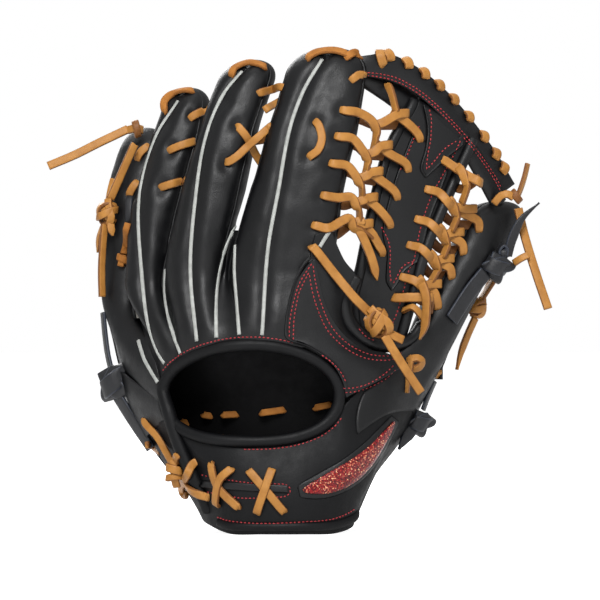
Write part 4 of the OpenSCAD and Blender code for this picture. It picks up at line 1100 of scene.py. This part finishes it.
# ---- Wrist adjustment ---------------------------------------------------------------------
# Three crossings of lace draw the wrist band up to the side of the hand.
bm = bmesh.new()
for under, over in (([(-67.5, 47.6), (-63.4, 36), (-58, 28), (-49.4, 23)],
                     [(-55.6, 44.4), (-60, 37), (-62.4, 30), (-61.6, 24)]),
                    ([(-45.4, 42.6), (-41, 30), (-30, 18.4)], [(-33.6, 40.2), (-39.6, 33), (-41.6, 19.4)]),
                    ([(-21.4, 39), (-11, 27), (-1.4, 15.6)], [(-8.4, 39.6), (-12.6, 27.6), (-16.8, 15)])):
    laid(bm, under, 0.9, width=5.4, clear=1.1, keep=(0.1, 0.9))
    laid(bm, over, 2.4, width=5.4, clear=2.0, keep=(0.16, 0.84))
finish_piece(bm, "wrist_lacing", tan_lace, "hand", replaced="wrist_lace")

# Lace that comes down the little finger's side to the first crossing.
bm = bmesh.new()
strap(bm, [leather_point(-89.4, 70.6, -1), leather_point(-86, 67.6, 1.6), leather_point(-78.4, 60.8, 2.4),
           leather_point(-72.6, 52, 2.8), (-70, 24, 43)],
      [(-0.3, -1, 0), (-0.3, -1, 0.2), (-0.3, -1, 0), (-0.3, -1, 0), (-0.2, -1, 0)], 4.6, clear=1.2,
      keep=(0.1, 0.95))
strap(bm, [leather_point(-86.5, 54.6, -1), leather_point(-84, 52.4, 1.4), leather_point(-79.6, 49, -1)],
      (-0.4, -1, 0), 4.6)
wrap(bm, (-69, 25, 40), (0.05, 0, 1), (-0.2, -1, 0), 4.4, 5.6, deep=0.8, slant=1.0)
wrap(bm, (-69.4, 26, 35), (0.15, 0.05, 1), (-0.2, -1, 0), 4.0, 4.6, deep=0.8, slant=-1.2)
strap(bm, [(-69.6, 24, 46), (-69.2, 23, 40), (-68.6, 25, 33), (-67.6, 28, 29)], (-0.2, -1, 0), 5.0)
finish_piece(bm, "heel_side_lace", tan_lace, "hand", replaced="heel_lace")

# ---- Free ends of lace --------------------------------------------------------------------
# The ends are left long past their knots and hang or stand as the stiff rawhide holds them.


def tail(name, points, facing, body, width, material, replaced, taper=0.0):
    """A free end of lace: its flat strap."""
    bm = bmesh.new()
    spine = strap(bm, points, facing, width, taper=taper)
    piece = finish_piece(bm, name, material, body, replaced=replaced)


tail("pinky_tip_lace_end", [(-100, 102, 253.6), (-118, 100, 245), (-134, 99, 237), (-150.6, 98, 230)],
     (0, -1, 0.3), "hand", 5.6, tan_lace, "pinky_tip_tail")
bm = bmesh.new()
wrap(bm, (-94.4, 97, 253.6), (1, 0.1, 0.35), (0, -1, 0), 4.4, 4.6, deep=0.75, slant=0.6)
strap(bm, [(-100, 102, 253), (-95, 97, 254), (-91, 101, 253)], (0, -1, 0.2), 5.4)
strap(bm, [(-95.5, 92, 243.5), (-97, 91, 240.6), (-104, 92, 225), (-111, 92, 209)], (0.5, -1, 0.3), 5.2)
knot(bm, (-113, 92, 200), (-0.1, 0, -1), (-0.3, -1, 0), 1.12, 5.6)
strap(bm, [(-111, 90, 196), (-110.6, 88, 191), (-109.4, 88, 185.6)], (0.3, -1, 0), 5.2, taper=0.3)
strap(bm, [(-109, 98, 222), (-111, 98, 214), (-112.4, 96, 205)], (-0.6, -1, 0), 4.6)
strap(bm, [(-115.8, 95, 192), (-118.4, 95, 184), (-118.6, 95, 175)], (-1, -0.4, 0), 4.6, taper=0.3)
finish_piece(bm, "pinky_side_lace", tan_lace, "hand", replaced="pinky_lace")
tail("pinky_side_lace_end", [(-114.6, 90, 193), (-115.6, 88, 180), (-116.4, 87, 164), (-116, 86, 147)],
     (0.75, -1, 0), "hand", 4.8, tan_lace, "pinky_tail")
bm = bmesh.new()
strap(bm, [leather_point(-97.8, 193.5, 1.2), leather_point(-99, 188, 1.4), leather_point(-100.6, 180, 1.4),
           leather_point(-102, 174, 1.6)], (-0.55, -1, 0), 4.6)
wrap(bm, leather_point(-102.6, 171, 1.6), (-0.2, 0, -1), (-0.4, -1, 0), 3.0, 4.4, deep=0.8, slant=0.8)
strap(bm, [leather_point(-102, 173, 2.4), leather_point(-102.8, 170, 3), leather_point(-103.6, 166, 2.2)],
      (-0.4, -1, 0), 4.4)
finish_piece(bm, "pinky_flesh_lace", flesh_side_and_shade_lace, "hand")
bm = bmesh.new()
laid(bm, [(-98.4, 210), (-98.9, 202), (-98.6, 195)], 1.2, width=4.4)
finish_piece(bm, "pinky_black_lace", black_lace, "hand")

bm = bmesh.new()
strap(bm, [leather_point(16.4, 179.4, -1.5), leather_point(19, 176.6, 1.4), leather_point(30, 162, 2.2),
           (43, 10, 147.5), (53, 15, 137.5)], (0.1, -1, 0.1), 5.8, clear=1.2, keep=(0.05, 1))
knot(bm, (58.2, 14.4, 131.6), (0.5, 0.1, -0.86), (0, -1, 0), 1.32, 6.6)
strap(bm, [(61, 14.5, 127.2), (66.6, 15.5, 124), (73.6, 18, 120.6)], (0.1, -1, 0.3), 5.8)
finish_piece(bm, "crotch_lace_strap", tan_lace, "hand", replaced="crotch_lace")
tail("crotch_lace_end", [(62, 13.5, 123.6), (69, 14.5, 112), (77, 18, 99.6), (84.8, 23, 88)], (0.1, -1, 0.1),
     "hand", 5.8, tan_lace, "crotch_tail")
bm = bmesh.new()
at = leather_point(79.5, 106.4, 2.6)
strap(bm, [off(at, -5.4, 2.4, -1), off(at, -3, -0.6, 1.6), off(at, 1.6, -1.6, 3), off(at, 4.8, 0, 0.6),
           off(at, 2.4, -0.6, -3), off(at, -2.4, 1, -3.6)],
      [(-1, -1, 0), (-0.3, -1, 0.6), (0.2, -1, 0.8), (1, -0.8, 0), (0.4, -1, -0.8), (-0.6, -1, -0.6)], 5.4)
strap(bm, [off(at, -3, 1.4, 3.6), off(at, -2.6, -1.6, 0.6), off(at, -3.4, -1, -5), off(at, -4.8, 0.6, -12),
           off(at, -5.4, 1.6, -18.6)], (-0.5, -1, 0), 4.8)
finish_piece(bm, "thumb_loop_knot", tan_lace, "hand")

tail("thumb_tip_lace_end", [(147.4, 79, 203), (151.6, 77, 185), (158.2, 74, 163), (166, 70, 139.6)],
     (0.3, -1, 0), "thumb", 5.6, tan_lace, "thumb_tip_tail")
bm = bmesh.new()
wrap(bm, (146, 77, 210.6), (0.7, 0, 0.7), (0, -1, 0), 3.6, 4.8, deep=0.8, slant=0.5)
strap(bm, [(132, 76, 206), (136, 74.4, 210.6), (140.4, 73.4, 212), (144, 75, 210)], (0.2, -1, 0.3), 5)
strap(bm, [(146, 77, 208), (149, 77, 215.6), (151.4, 78, 223), (153.4, 79, 231.4)], (0.95, -0.4, 0), 4.6)
strap(bm, [(144.6, 75, 168.4), (149, 72, 171.4), (153.6, 72, 173.6)], (0, -1, 0.4), 4.6)
finish_piece(bm, "thumb_tip_lace", tan_lace, "thumb", replaced="thumb_tip_knot")

tail("thumb_knot_lace_end", [(120.4, 86, 133.6), (115.6, 84, 123), (111.4, 81, 112), (108.6, 79, 101)],
     (0.75, -0.7, 0), "thumb", 5.4, tan_lace, "thumb_knot_tail", taper=0.45)
bm = bmesh.new()
strap(bm, [(134, 88, 160), (129.4, 87.6, 153), (125, 86.4, 146), (122.6, 85, 141)], (-0.9, -0.5, 0.2), 5)
strap(bm, [(131, 92, 160), (127.8, 91, 152), (124, 89, 146)], (-0.9, -0.4, 0.2), 4.6)
knot(bm, (122, 86, 140.4), (-0.42, 0, -1), (0.6, -1, 0), 0.86, 5.8)
strap(bm, [leather_point(96, 104, -2), leather_point(98.4, 102.6, 2.4), leather_point(99.4, 99.6, 3),
           leather_point(96.8, 96.6, 2.4)], (0.6, -1, 0.3), 4.6)
finish_piece(bm, "thumb_side_lace", tan_lace, "thumb", replaced="thumb_knot")

# ---- Black lace straps and knots ----------------------------------------------------------
# Broad black laces with folded knots adjust the little finger's and the thumb's loops.
bm = bmesh.new()
flat_knot(bm, (-107.6, 78, 93.4), (0.3, 0, -1), (-0.45, -1, 0), 1.3, 13)
wrap(bm, (-100, 76, 92), (0.5, 0, 0.85), (-0.3, -1, 0), 4.2, 6.4, deep=0.9, slant=0.8)
strap(bm, [(-104, 78, 92), (-100.4, 74.4, 93), (-96.8, 76, 91)], (-0.1, -1, 0), 8.4, 3)
strap(bm, [(-115.6, 92, 137), (-114.4, 90, 124), (-112.4, 86, 110), (-109.4, 82, 98)], (-1, -0.42, 0), 5.4,
      2.4)
finish_piece(bm, "pinky_strap_fold", black_lace, "hand", replaced="pinky_strap_knot")
bm = bmesh.new()
strap(bm, [(-106, 79, 84), (-99.6, 75, 74), (-91.6, 70, 62), (-84.6, 68, 51.6)], (-1, -0.66, 0.1), 8.6, 2.4)
finish_piece(bm, "pinky_strap_leather", black_lace, "hand", replaced="pinky_strap")

bm = bmesh.new()
knot_at = Vector((133.6, leather_point(131, 167).y - 6, 166.6))
flat_knot(bm, knot_at, (-0.6, 0, -0.75), (0.3, -1, 0), 0.96, 10.5)
strap(bm, [off(knot_at, 1, 1, 6), off(knot_at, 1.6, -0.4, 10.6), off(knot_at, 4.4, -0.4, 13.4),
           off(knot_at, 7.4, 0, 11.4), off(knot_at, 7, 1, 6)],
      [(-1, -0.4, 0), (-1, -0.4, 0.4), (0, -0.4, 1), (1, -0.4, 0.4), (1, -0.4, 0)], 4.6, 2.0)
wrap(bm, off(knot_at, 4.4, 1.6, 8), (1, 0, 0.2), (0.3, -1, 0.2), 2.6, 4.0, deep=0.9)
finish_piece(bm, "thumb_strap_fold", black_lace, "thumb", replaced="thumb_strap_knot")
bm = bmesh.new()
strap(bm, [leather_point(124, 163, 3), leather_point(115, 150, 1.6), leather_point(104, 133, 1.4)],
      (0.6, -0.8, 0), 10, 2.4, clear=1.4)
finish_piece(bm, "thumb_strap_leather", black_lace, "thumb", replaced="thumb_strap")
tail("thumb_strap_end", [(140.4, 70, 173), (143.4, 69.6, 184), (149.6, 70.4, 196.6), (160.4, 74, 206.4)],
     [(0.75, -1, 0), (0.5, -1, 0.1), (0.3, -1, 0.2), (0.2, -1, 0.2)], "thumb", 6.2, black_lace,
     "thumb_strap_tail", taper=0.6)
bm = bmesh.new()
flat_knot(bm, (85, 62, 68.4), (-0.6, 0, -0.8), (0.7, -1, 0), 0.86, 10)
strap(bm, [(82, 60, 66), (77, 57, 60), (71.6, 53, 51.6)], (0.6, -1, 0.2), 8, 2.6, taper=0.5)
strap(bm, [(87, 64, 76), (90, 66, 84), (94.4, 68, 94)], (1, -0.35, 0), 5, 2.2)
finish_piece(bm, "thumb_heel_fold", black_lace, "hand")

# ---- Lacing on the pocket side ------------------------------------------------------------
# The same rawhide ties the palm to the heel, to the foot of the web and finger to finger.
bm = bmesh.new()
for k in range(7):
    laid(bm, [(-33 + 10 * k, 11), (-29.6 + 10 * k, 11.6), (-26 + 10 * k, 11)], 1.0, width=5, side=1)
for k in range(3):
    laid(bm, [(46 + 9.5 * k, 101 - 1.5 * k), (46.8 + 9.5 * k, 106 - 1.5 * k), (47.4 + 9.5 * k, 111 - 2 * k)],
         1.0, width=5, side=1)
for k in range(5):
    near, far = palm_net[0][1 + k // 2], palm_net[0][1 + (k + 1) // 2]
    x, z = (near[0] + far[0]) / 2, (near[2] + far[2]) / 2
    laid(bm, [(x + 5, z - 5), (x + 4.4, z - 1), (x + 4, z + 3)], 1.0, width=4.8, side=1)


def bridge(bm, first, last):
    """A short lace from finger to finger on the pocket side."""
    a, b = leather_point(*first, 1.0, 1), leather_point(*last, 1.0, 1)
    way = (b - a).normalized() * 1.6
    strap(bm, [off(a - way, 0, -4, 0), a, off((a + b) / 2, 0, 1.4, 0), b, off(b + way, 0, -4, 0)], (0, 1, 0),
          5.2)


for first, last in (((-30, 244), (-6, 247)), ((-68, 238), (-48, 241)), ((-97, 219), (-81, 222)),
                    ((-70, 214), (-54, 216))):
    bridge(bm, first, last)
finish_piece(bm, "pocket_side_lacing", tan_lace, "hand")

# ---- Inside of the hand -------------------------------------------------------------------
# The hand rests on a lining of soft black leather over the palm felt; the wrist band is lined
# with a black pile. The heel lace shows inside as short stitches in the darker flesh-side lace, whose
# darkness there is partly painted shade.
lining_leather = shell_leather("lining_leather", "lining", (0.0028, 0.0028, 0.0030, 1),
                               (0.0048, 0.0048, 0.0052, 1),
                               (0.65, 0.8), 0.5, 0.1)


def lining_point(u, v):
    point = net_point(palm_net, 0.04 + 0.86 * u, 0.06 + 0.93 * v)
    deep = 17 - 4.5 * min(1, max(0, (v - 0.15) / 0.25))
    return Vector((point.x, point.y - deep + 1.2 * noise.noise(point * 0.04), max(point.z, 1)))


lining = sheet("hand_lining", 60, 60, lining_point, lining_leather, "hand", 1.2, replaced="palm_lining")

pile, tree, shader = new_material("black_pile", "fleece")
fur = noise_of(tree, node(tree, "TexCoord", "Object", {}), 900, 5, 0.75)
put_in(tree, shader, {
    "Base Color": mixed(tree, ranged(tree, fur, 0.3, 0.75), (0.001, 0.001, 0.001, 1),
                        (0.014, 0.014, 0.015, 1)),
    "Normal": relief(tree, fur, 1.0, 0.0012),
    "Roughness": 0.95,
    "Sheen Weight": 0.12})


def pile_point(u, v):
    point = net_point(band_net, 0.17 + 0.42 * u, 0.10 + 0.84 * v)
    return point + Vector((0, 3.4 + 3.2 * math.sin(math.pi * v) ** 0.5 + 0.7 * noise.noise(point * 0.25), 0))


sheet("wrist_pile", 110, 50, pile_point, pile, "hand", 1.0, flip=True, replaced="wrist_fleece")

inside = skin_tree([lining])
# The inner stitches use the darker flesh-side lace, partly as painted shade for the inside of the hand
bm = bmesh.new()
for x, z, half, turn in ((-63.5, 67.8, 1.8, -12), (-48.8, 72.6, 2.2, -8), (-34.4, 73.4, 4.2, 2),
                         (-7.6, 75.6, 7, 8), (24, 79, 5, 12)):
    way = Vector((math.cos(math.radians(turn)), 0, math.sin(math.radians(turn))))
    hit, normal = skin_at(inside, x, z)
    if hit is not None:
        middle = off(hit, 0, -1.6, 0)
        strap(bm, [off(middle - way * half * 1.05, 0, 3, 0), middle - way * half * 0.85, middle,
                   middle + way * half * 0.85, off(middle + way * half * 1.05, 0, 3, 0)], (0, -1, 0.2), 4.4)
finish_piece(bm, "inner_lace_stitches", flesh_side_and_shade_lace, "hand")

felt, tree, shader = new_material("grey_felt", "felt")
fur = noise_of(tree, node(tree, "TexCoord", "Object", {}), 1100, 5, 0.7)
put_in(tree, shader, {
    "Base Color": mottled(tree, fur, 0.2, (0.10, 0.095, 0.085, 1), (0.30, 0.28, 0.25, 1)),
    "Normal": relief(tree, fur, 0.8, 0.0005),
    "Roughness": 0.95})
for name, replaced, span, rise, slant, sink, thickness in (
        ("palm_felt_layer", "palm_felt_pad", (0.19, 0.52), (0.30, 0.80), 0.08, 5.2, 3.2),
        ("pinky_heel_felt", "heel_pad_pinky", (0.19, 0.56), (0.09, 0.24), 0, 3.2, 10),
        ("thumb_heel_felt", "heel_pad_thumb", (0.63, 0.75), (0.11, 0.64), 0, 5.4, 4)):
    piece = sheet(name, 40, 40, lambda u, v: palm_point(span[0] + (span[1] - slant * v - span[0]) * u,
                                                        rise[0] + (rise[1] - rise[0]) * v)
                  - Vector((0, sink, 0)), felt, "hand", thickness, replaced, flip=True)
for name, low in (("index", 136), ("middle", 136), ("ring", 134), ("pinky", 128), ("thumb", 122)):
    high = fingers[name]["rows"][-1][0] - 16
    piece = sheet(name + "_felt_strip", 16, 60, lambda u, v: stall_skin(fingers[name], low + (high - low) * v,
                                                                        240 + 60 * u, -4.4), felt,
                  "thumb" if name == "thumb" else "hand", 2.2, name + "_felt")

# ---- Overlaid pieces ----------------------------------------------------------------------
# Two tongues of leather lie over the web panel, skived thin at their edges. Two cross bars under
# the top band hold the upper ends of the lattices.
web_tree = skin_tree([bpy.data.objects["web_panel_leather"]])


def tongue(name, left, right, lift):
    """A thin overlay between two edges given in x and z; its border is turned over a thread."""
    left, right = [Vector((x, 0, z)) for x, z in left], [Vector((x, 0, z)) for x, z in right]

    def point(u, v):
        a, b = along(left, v), along(right, v)
        at = a + (b - a) * u
        hit, normal = skin_at(web_tree, at.x, at.z)
        edge = min(u, 1 - u) * (b - a).length
        rise = lift + 0.7 * min(1, edge / 0.8) ** 0.5 + 0.5 * math.exp(-((edge - 0.9) / 0.6) ** 2)
        if hit is None:
            hit = Vector((at.x, web_point(0.5, 1).y, at.z))
        return hit + normal * rise
    return sheet(name, 60, 70, point, black_leather, "hand", 0.9)


lower = tongue("web_middle_tongue", [(66, 151.6), (63, 157.5), (63.2, 166), (63.6, 175), (61, 186),
                                     (62.6, 200), (70, 225), (80, 250)],
               [(67.6, 151.6), (71.4, 156.8), (75.4, 163.6), (80, 167.2), (85, 172), (91, 195), (98.6, 215),
                (106, 235)], 0.1)
upper = tongue("web_upper_tongue", [(87, 222.4), (84.2, 228.4), (87.2, 239.4), (88.6, 249), (88.2, 258),
                                    (86, 268)], [(88.8, 222.4), (95, 228.2), (103, 235.6), (110.6, 241.4),
                                                 (111.6, 242.6), (112, 244)], 1.0)
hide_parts("web_tongues")
shell += [upper, lower]


def bar_point(u, v, top_line, low_line):
    a, b = along(top_line, u), along(low_line, u)
    return a + (b - a) * (1 - v) + Vector((0, -3.2 * math.sin(math.pi * v) ** 0.6, 0))


for name, top_line, low_line in (
        ("cross_bar_index_side", [(47, 48, 290), (58, 52, 289), (71, 57.6, 283.6), (85, 62.6, 273.4)],
         [(46.6, 48, 280), (56, 50, 274), (67, 53.4, 266.4), (80, 57.4, 255.6)]),
        ("cross_bar_thumb_side", [(114, 67, 251), (122, 73, 241), (130, 79, 228), (136, 83, 218),
                                  (140, 86, 208.5)],
         [(106.5, 62, 244), (114, 68, 233), (121, 73.5, 221), (127, 78, 210), (131.5, 81, 202)])):
    shell.append(sheet(name, 40, 20, lambda u, v: bar_point(u, v, top_line, low_line), black_leather,
                       top_fold, 4.5, "web_cross_bars" if name == "cross_bar_index_side" else None))

skin = skin_tree(shell)

# ---- Strap in the wrist band --------------------------------------------------------------
# A tab of shell leather shows in a stitched slot under the crossed laces.
bm = bmesh.new()
places = [leather_point(x, 31.2 - 0.045 * (x + 52)) for x in range(-52, 4, 3)]
strap(bm, [off(p, 0, -0.5, 0) for p in places], [skin_at(skin, p.x, p.z)[1] for p in places], 4.6, 1.5)
finish_piece(bm, "wrist_strap_tab", black_leather, "hand")

# ---- Red thread ---------------------------------------------------------------------------
# All seams are sewn with red waxed thread, in stitches about two millimetres long.
thread, tree, shader = new_material("red_thread")
twist = noise_of(tree, node(tree, "TexCoord", "Object", {}), 2200, 2)
put_in(tree, shader, {"Base Color": mottled(tree, twist, 0.2, (0.24, 0.006, 0.010, 1),
                                            (0.40, 0.016, 0.022, 1)),
                      "Roughness": 0.55})


def evenly(points, pitch):
    """Places at an even pitch along a smooth line."""
    points = [Vector(p) for p in points]
    fine = [along(points, i / 400) for i in range(401)]
    run, at, places = 0.0, pitch / 2, []
    for a, b in zip(fine, fine[1:]):
        step = (b - a).length
        while step > 0 and run + step >= at:
            places.append(a + (b - a) * ((at - run) / step))
            at += pitch
        run += step
    return places


def sew(bm, line, pitch=2.6, length=1.9, side=-1):
    """Stitches along a line seen from the back, given in x and z, or in full where it has three numbers."""
    flat = len(line[0]) == 2
    places = evenly([(p[0], 0, p[1]) for p in line] if flat else line, pitch)
    found = []
    for p in places:
        hit, normal = skin_at(skin, p.x, p.z, side)
        if hit is not None:
            found.append((hit, normal))
    for i, (hit, normal) in enumerate(found):
        ahead, behind = found[min(i + 1, len(found) - 1)][0], found[max(i - 1, 0)][0]
        if (ahead - behind).length > pitch * 4.5:
            continue
        way = (ahead - behind).normalized()
        across = normal.cross(way).normalized()
        at = (hit + normal * 0.12) * MM
        turned = Matrix(((way.x, across.x, normal.x, at.x), (way.y, across.y, normal.y, at.y),
                         (way.z, across.z, normal.z, at.z), (0, 0, 0, 1)))
        stretched = Matrix.Diagonal((length / 2 * MM, 0.42 * MM, 0.34 * MM, 1))
        bmesh.ops.create_uvsphere(bm, u_segments=6, v_segments=4, radius=1, matrix=turned @ stretched)


bm = bmesh.new()
for out, first, last in ((4.9, 158, 12), (4.9, 268, 338)):
    sew(bm, [tuple(rim_point(first + (last - first) * i / 24, out)) for i in range(25)])
for line in ([(16.9, 168.8), (9.4, 156.9), (5.6, 145.6), (3.1, 133.1), (2.6, 121.9)],
             [(15, 163.1), (9.4, 151.9), (7.6, 145.6), (5.6, 133.1), (5.2, 120.8)],
             [(17.5, 167.5), (18.8, 158.1), (21.9, 145.6), (28.1, 130.6), (38.1, 119.4), (50.6, 112.5),
              (63.1, 110.6), (74.4, 112.5)],
             [(15.2, 161.9), (16.9, 151.9), (20.2, 140.6), (26.5, 127), (37.5, 116), (50, 109.6), (63, 108),
              (72, 109.8)],
             [(68.1, 105), (61.9, 99.4), (53.1, 94.1), (44.4, 91.4), (36.9, 90.9)],
             [(69.4, 102.4), (63.1, 96.6), (53.1, 91.4), (44.4, 88.9), (38.1, 88.3)]):
    sew(bm, line)
finish_piece(bm, "back_panel_thread", thread, "hand")
bm = bmesh.new()
sew(bm, [(-52.5, 36.9), (-38, 34.6), (-21.9, 32.5), (-6, 31.9), (0.6, 31.4), (3.4, 28.1), (0.6, 24.4),
         (-8, 23.6), (-28.1, 23.1), (-50, 26.6)], 2.4, 1.7)
sew(bm, [tuple(net_point(band_net, 0.222 + 0.37 * i / 16, 0.13)) for i in range(17)])
finish_piece(bm, "wrist_band_thread", thread, "hand")
bm = bmesh.new()
for line in ([(84.5, 255), (80.5, 246), (76.4, 236), (71.6, 226)],
             [(110.6, 246), (106.3, 236.9), (100, 225.6), (91.4, 209.4), (85, 190.6), (80.8, 170.6),
              (77.6, 164), (74, 150.6), (70.4, 138), (66.4, 129)],
             [(45.8, 128), (51, 122.6), (57, 120)],
             [(90.6, 265.6), (91.9, 258.1), (91.3, 245.6), (89.4, 235.6), (88.8, 227.6)],
             [(89.6, 228), (93.1, 231.9), (100.6, 240.6), (109, 246)],
             [(60, 191.9), (64.4, 183.1), (65.9, 175.6), (65.6, 164.4), (66.6, 155.6)],
             [(67.4, 155.6), (69.4, 158.6), (73.1, 165.6), (77.5, 168.8), (80.6, 169.4)]):
    sew(bm, line)
finish_piece(bm, "web_panel_thread", thread, "hand")
bm = bmesh.new()
for u in (0.018, 0.982):
    for inward in (0, 0.012 if u < 0.5 else -0.012):
        sew(bm, [tuple(palm_point(u + inward, 0.04 + 0.9 * i / 20)) for i in range(21)], side=1)
sew(bm, [tuple(palm_point(0.06 + 0.88 * i / 20, 0.03)) for i in range(21)], side=1)
finish_piece(bm, "palm_thread", thread, "hand")
bm = bmesh.new()
for v in (0.08, 0.20):
    sew(bm, [tuple(top_point(0.07 + 0.9 * i / 20, v)) for i in range(21)])
finish_piece(bm, "top_band_thread", thread, top_fold)

# ---- Patch --------------------------------------------------------------------------------
# A plain leaf of red glitter film, edged with black leather, is sewn to the thumb side of the band. Its
# flakes vary in red at random, and the palest, brightest flakes are painted glints.
glitter, tree, shader = new_material("red_glitter", "patch")
flakes = node(tree, "TexVoronoi", "Color", {"Scale": 1300, "Vector": node(tree, "TexCoord", "Object", {})})
split = tree.nodes.new("ShaderNodeSeparateColor")
put_in(tree, split, {0: flakes})
# Flake colours: random shades of red, with painted glints at the pale bright end of the ramp
flake_tone_and_glint = tree.nodes.new("ShaderNodeValToRGB")
flake_tone_and_glint.color_ramp.elements[0].color = (0.025, 0.001, 0.002, 1)
flake_tone_and_glint.color_ramp.elements[1].color = (0.95, 0.50, 0.28, 1)
for at, color in ((0.35, (0.13, 0.003, 0.007, 1)), (0.74, (0.26, 0.008, 0.012, 1)),
                  (0.90, (0.42, 0.07, 0.035, 1))):
    flake_tone_and_glint.color_ramp.elements.new(at).color = color
put_in(tree, flake_tone_and_glint, {"Fac": split.outputs["Red"]})
put_in(tree, shader, {
    "Base Color": flake_tone_and_glint.outputs["Color"],
    "Normal": relief(tree, split.outputs["Green"], 0.9, 0.0004),
    "Specular IOR Level": 0.25,
    "Roughness": 0.3})


band_tree = skin_tree([wrist_band])
leaf_middle = [(11, 27.6), (26, 31.6), (41, 39.4), (54, 51.6), (67.6, 69.6)]


def leaf_point(s, across, grow, lift):
    """Point of the leaf on the band: s along its middle line, across from -1 to 1."""
    line = [Vector((x, 0, z)) for x, z in leaf_middle]
    middle, ahead, behind = along(line, s), along(line, min(s + 0.03, 1)), along(line, max(s - 0.03, 0))
    side = Vector((behind.z - ahead.z, 0, ahead.x - behind.x)).normalized()
    half = 0.4 + 6.3 * math.sin(math.pi * min(max(s, 0), 1) ** 0.8) ** 0.9 + grow
    at = middle + side * across * half + (ahead - behind).normalized() * grow * (2 * s - 1)
    hit, normal = skin_at(band_tree, at.x, at.z)
    return hit + normal * lift


def leaf(name, material, grow, low, high, replaced=None, slot=None):
    def point(u, v):
        across = 2 * v - 1
        edge = min(u * 5, (1 - u) * 5, (1 - abs(across)) * 2.2, 1)
        return leaf_point(u, across, grow, low + (high - low) * max(edge, 0) ** 0.5)
    sheet(name, 70, 26, point, material, "hand", 0.8, replaced, slot)


leaf("patch_edging", black_leather, 2.6, 0.1, 1.6, slot="binding")
leaf("patch_film", glitter, 0.0, 1.3, 2.7, replaced="wrist_patch")
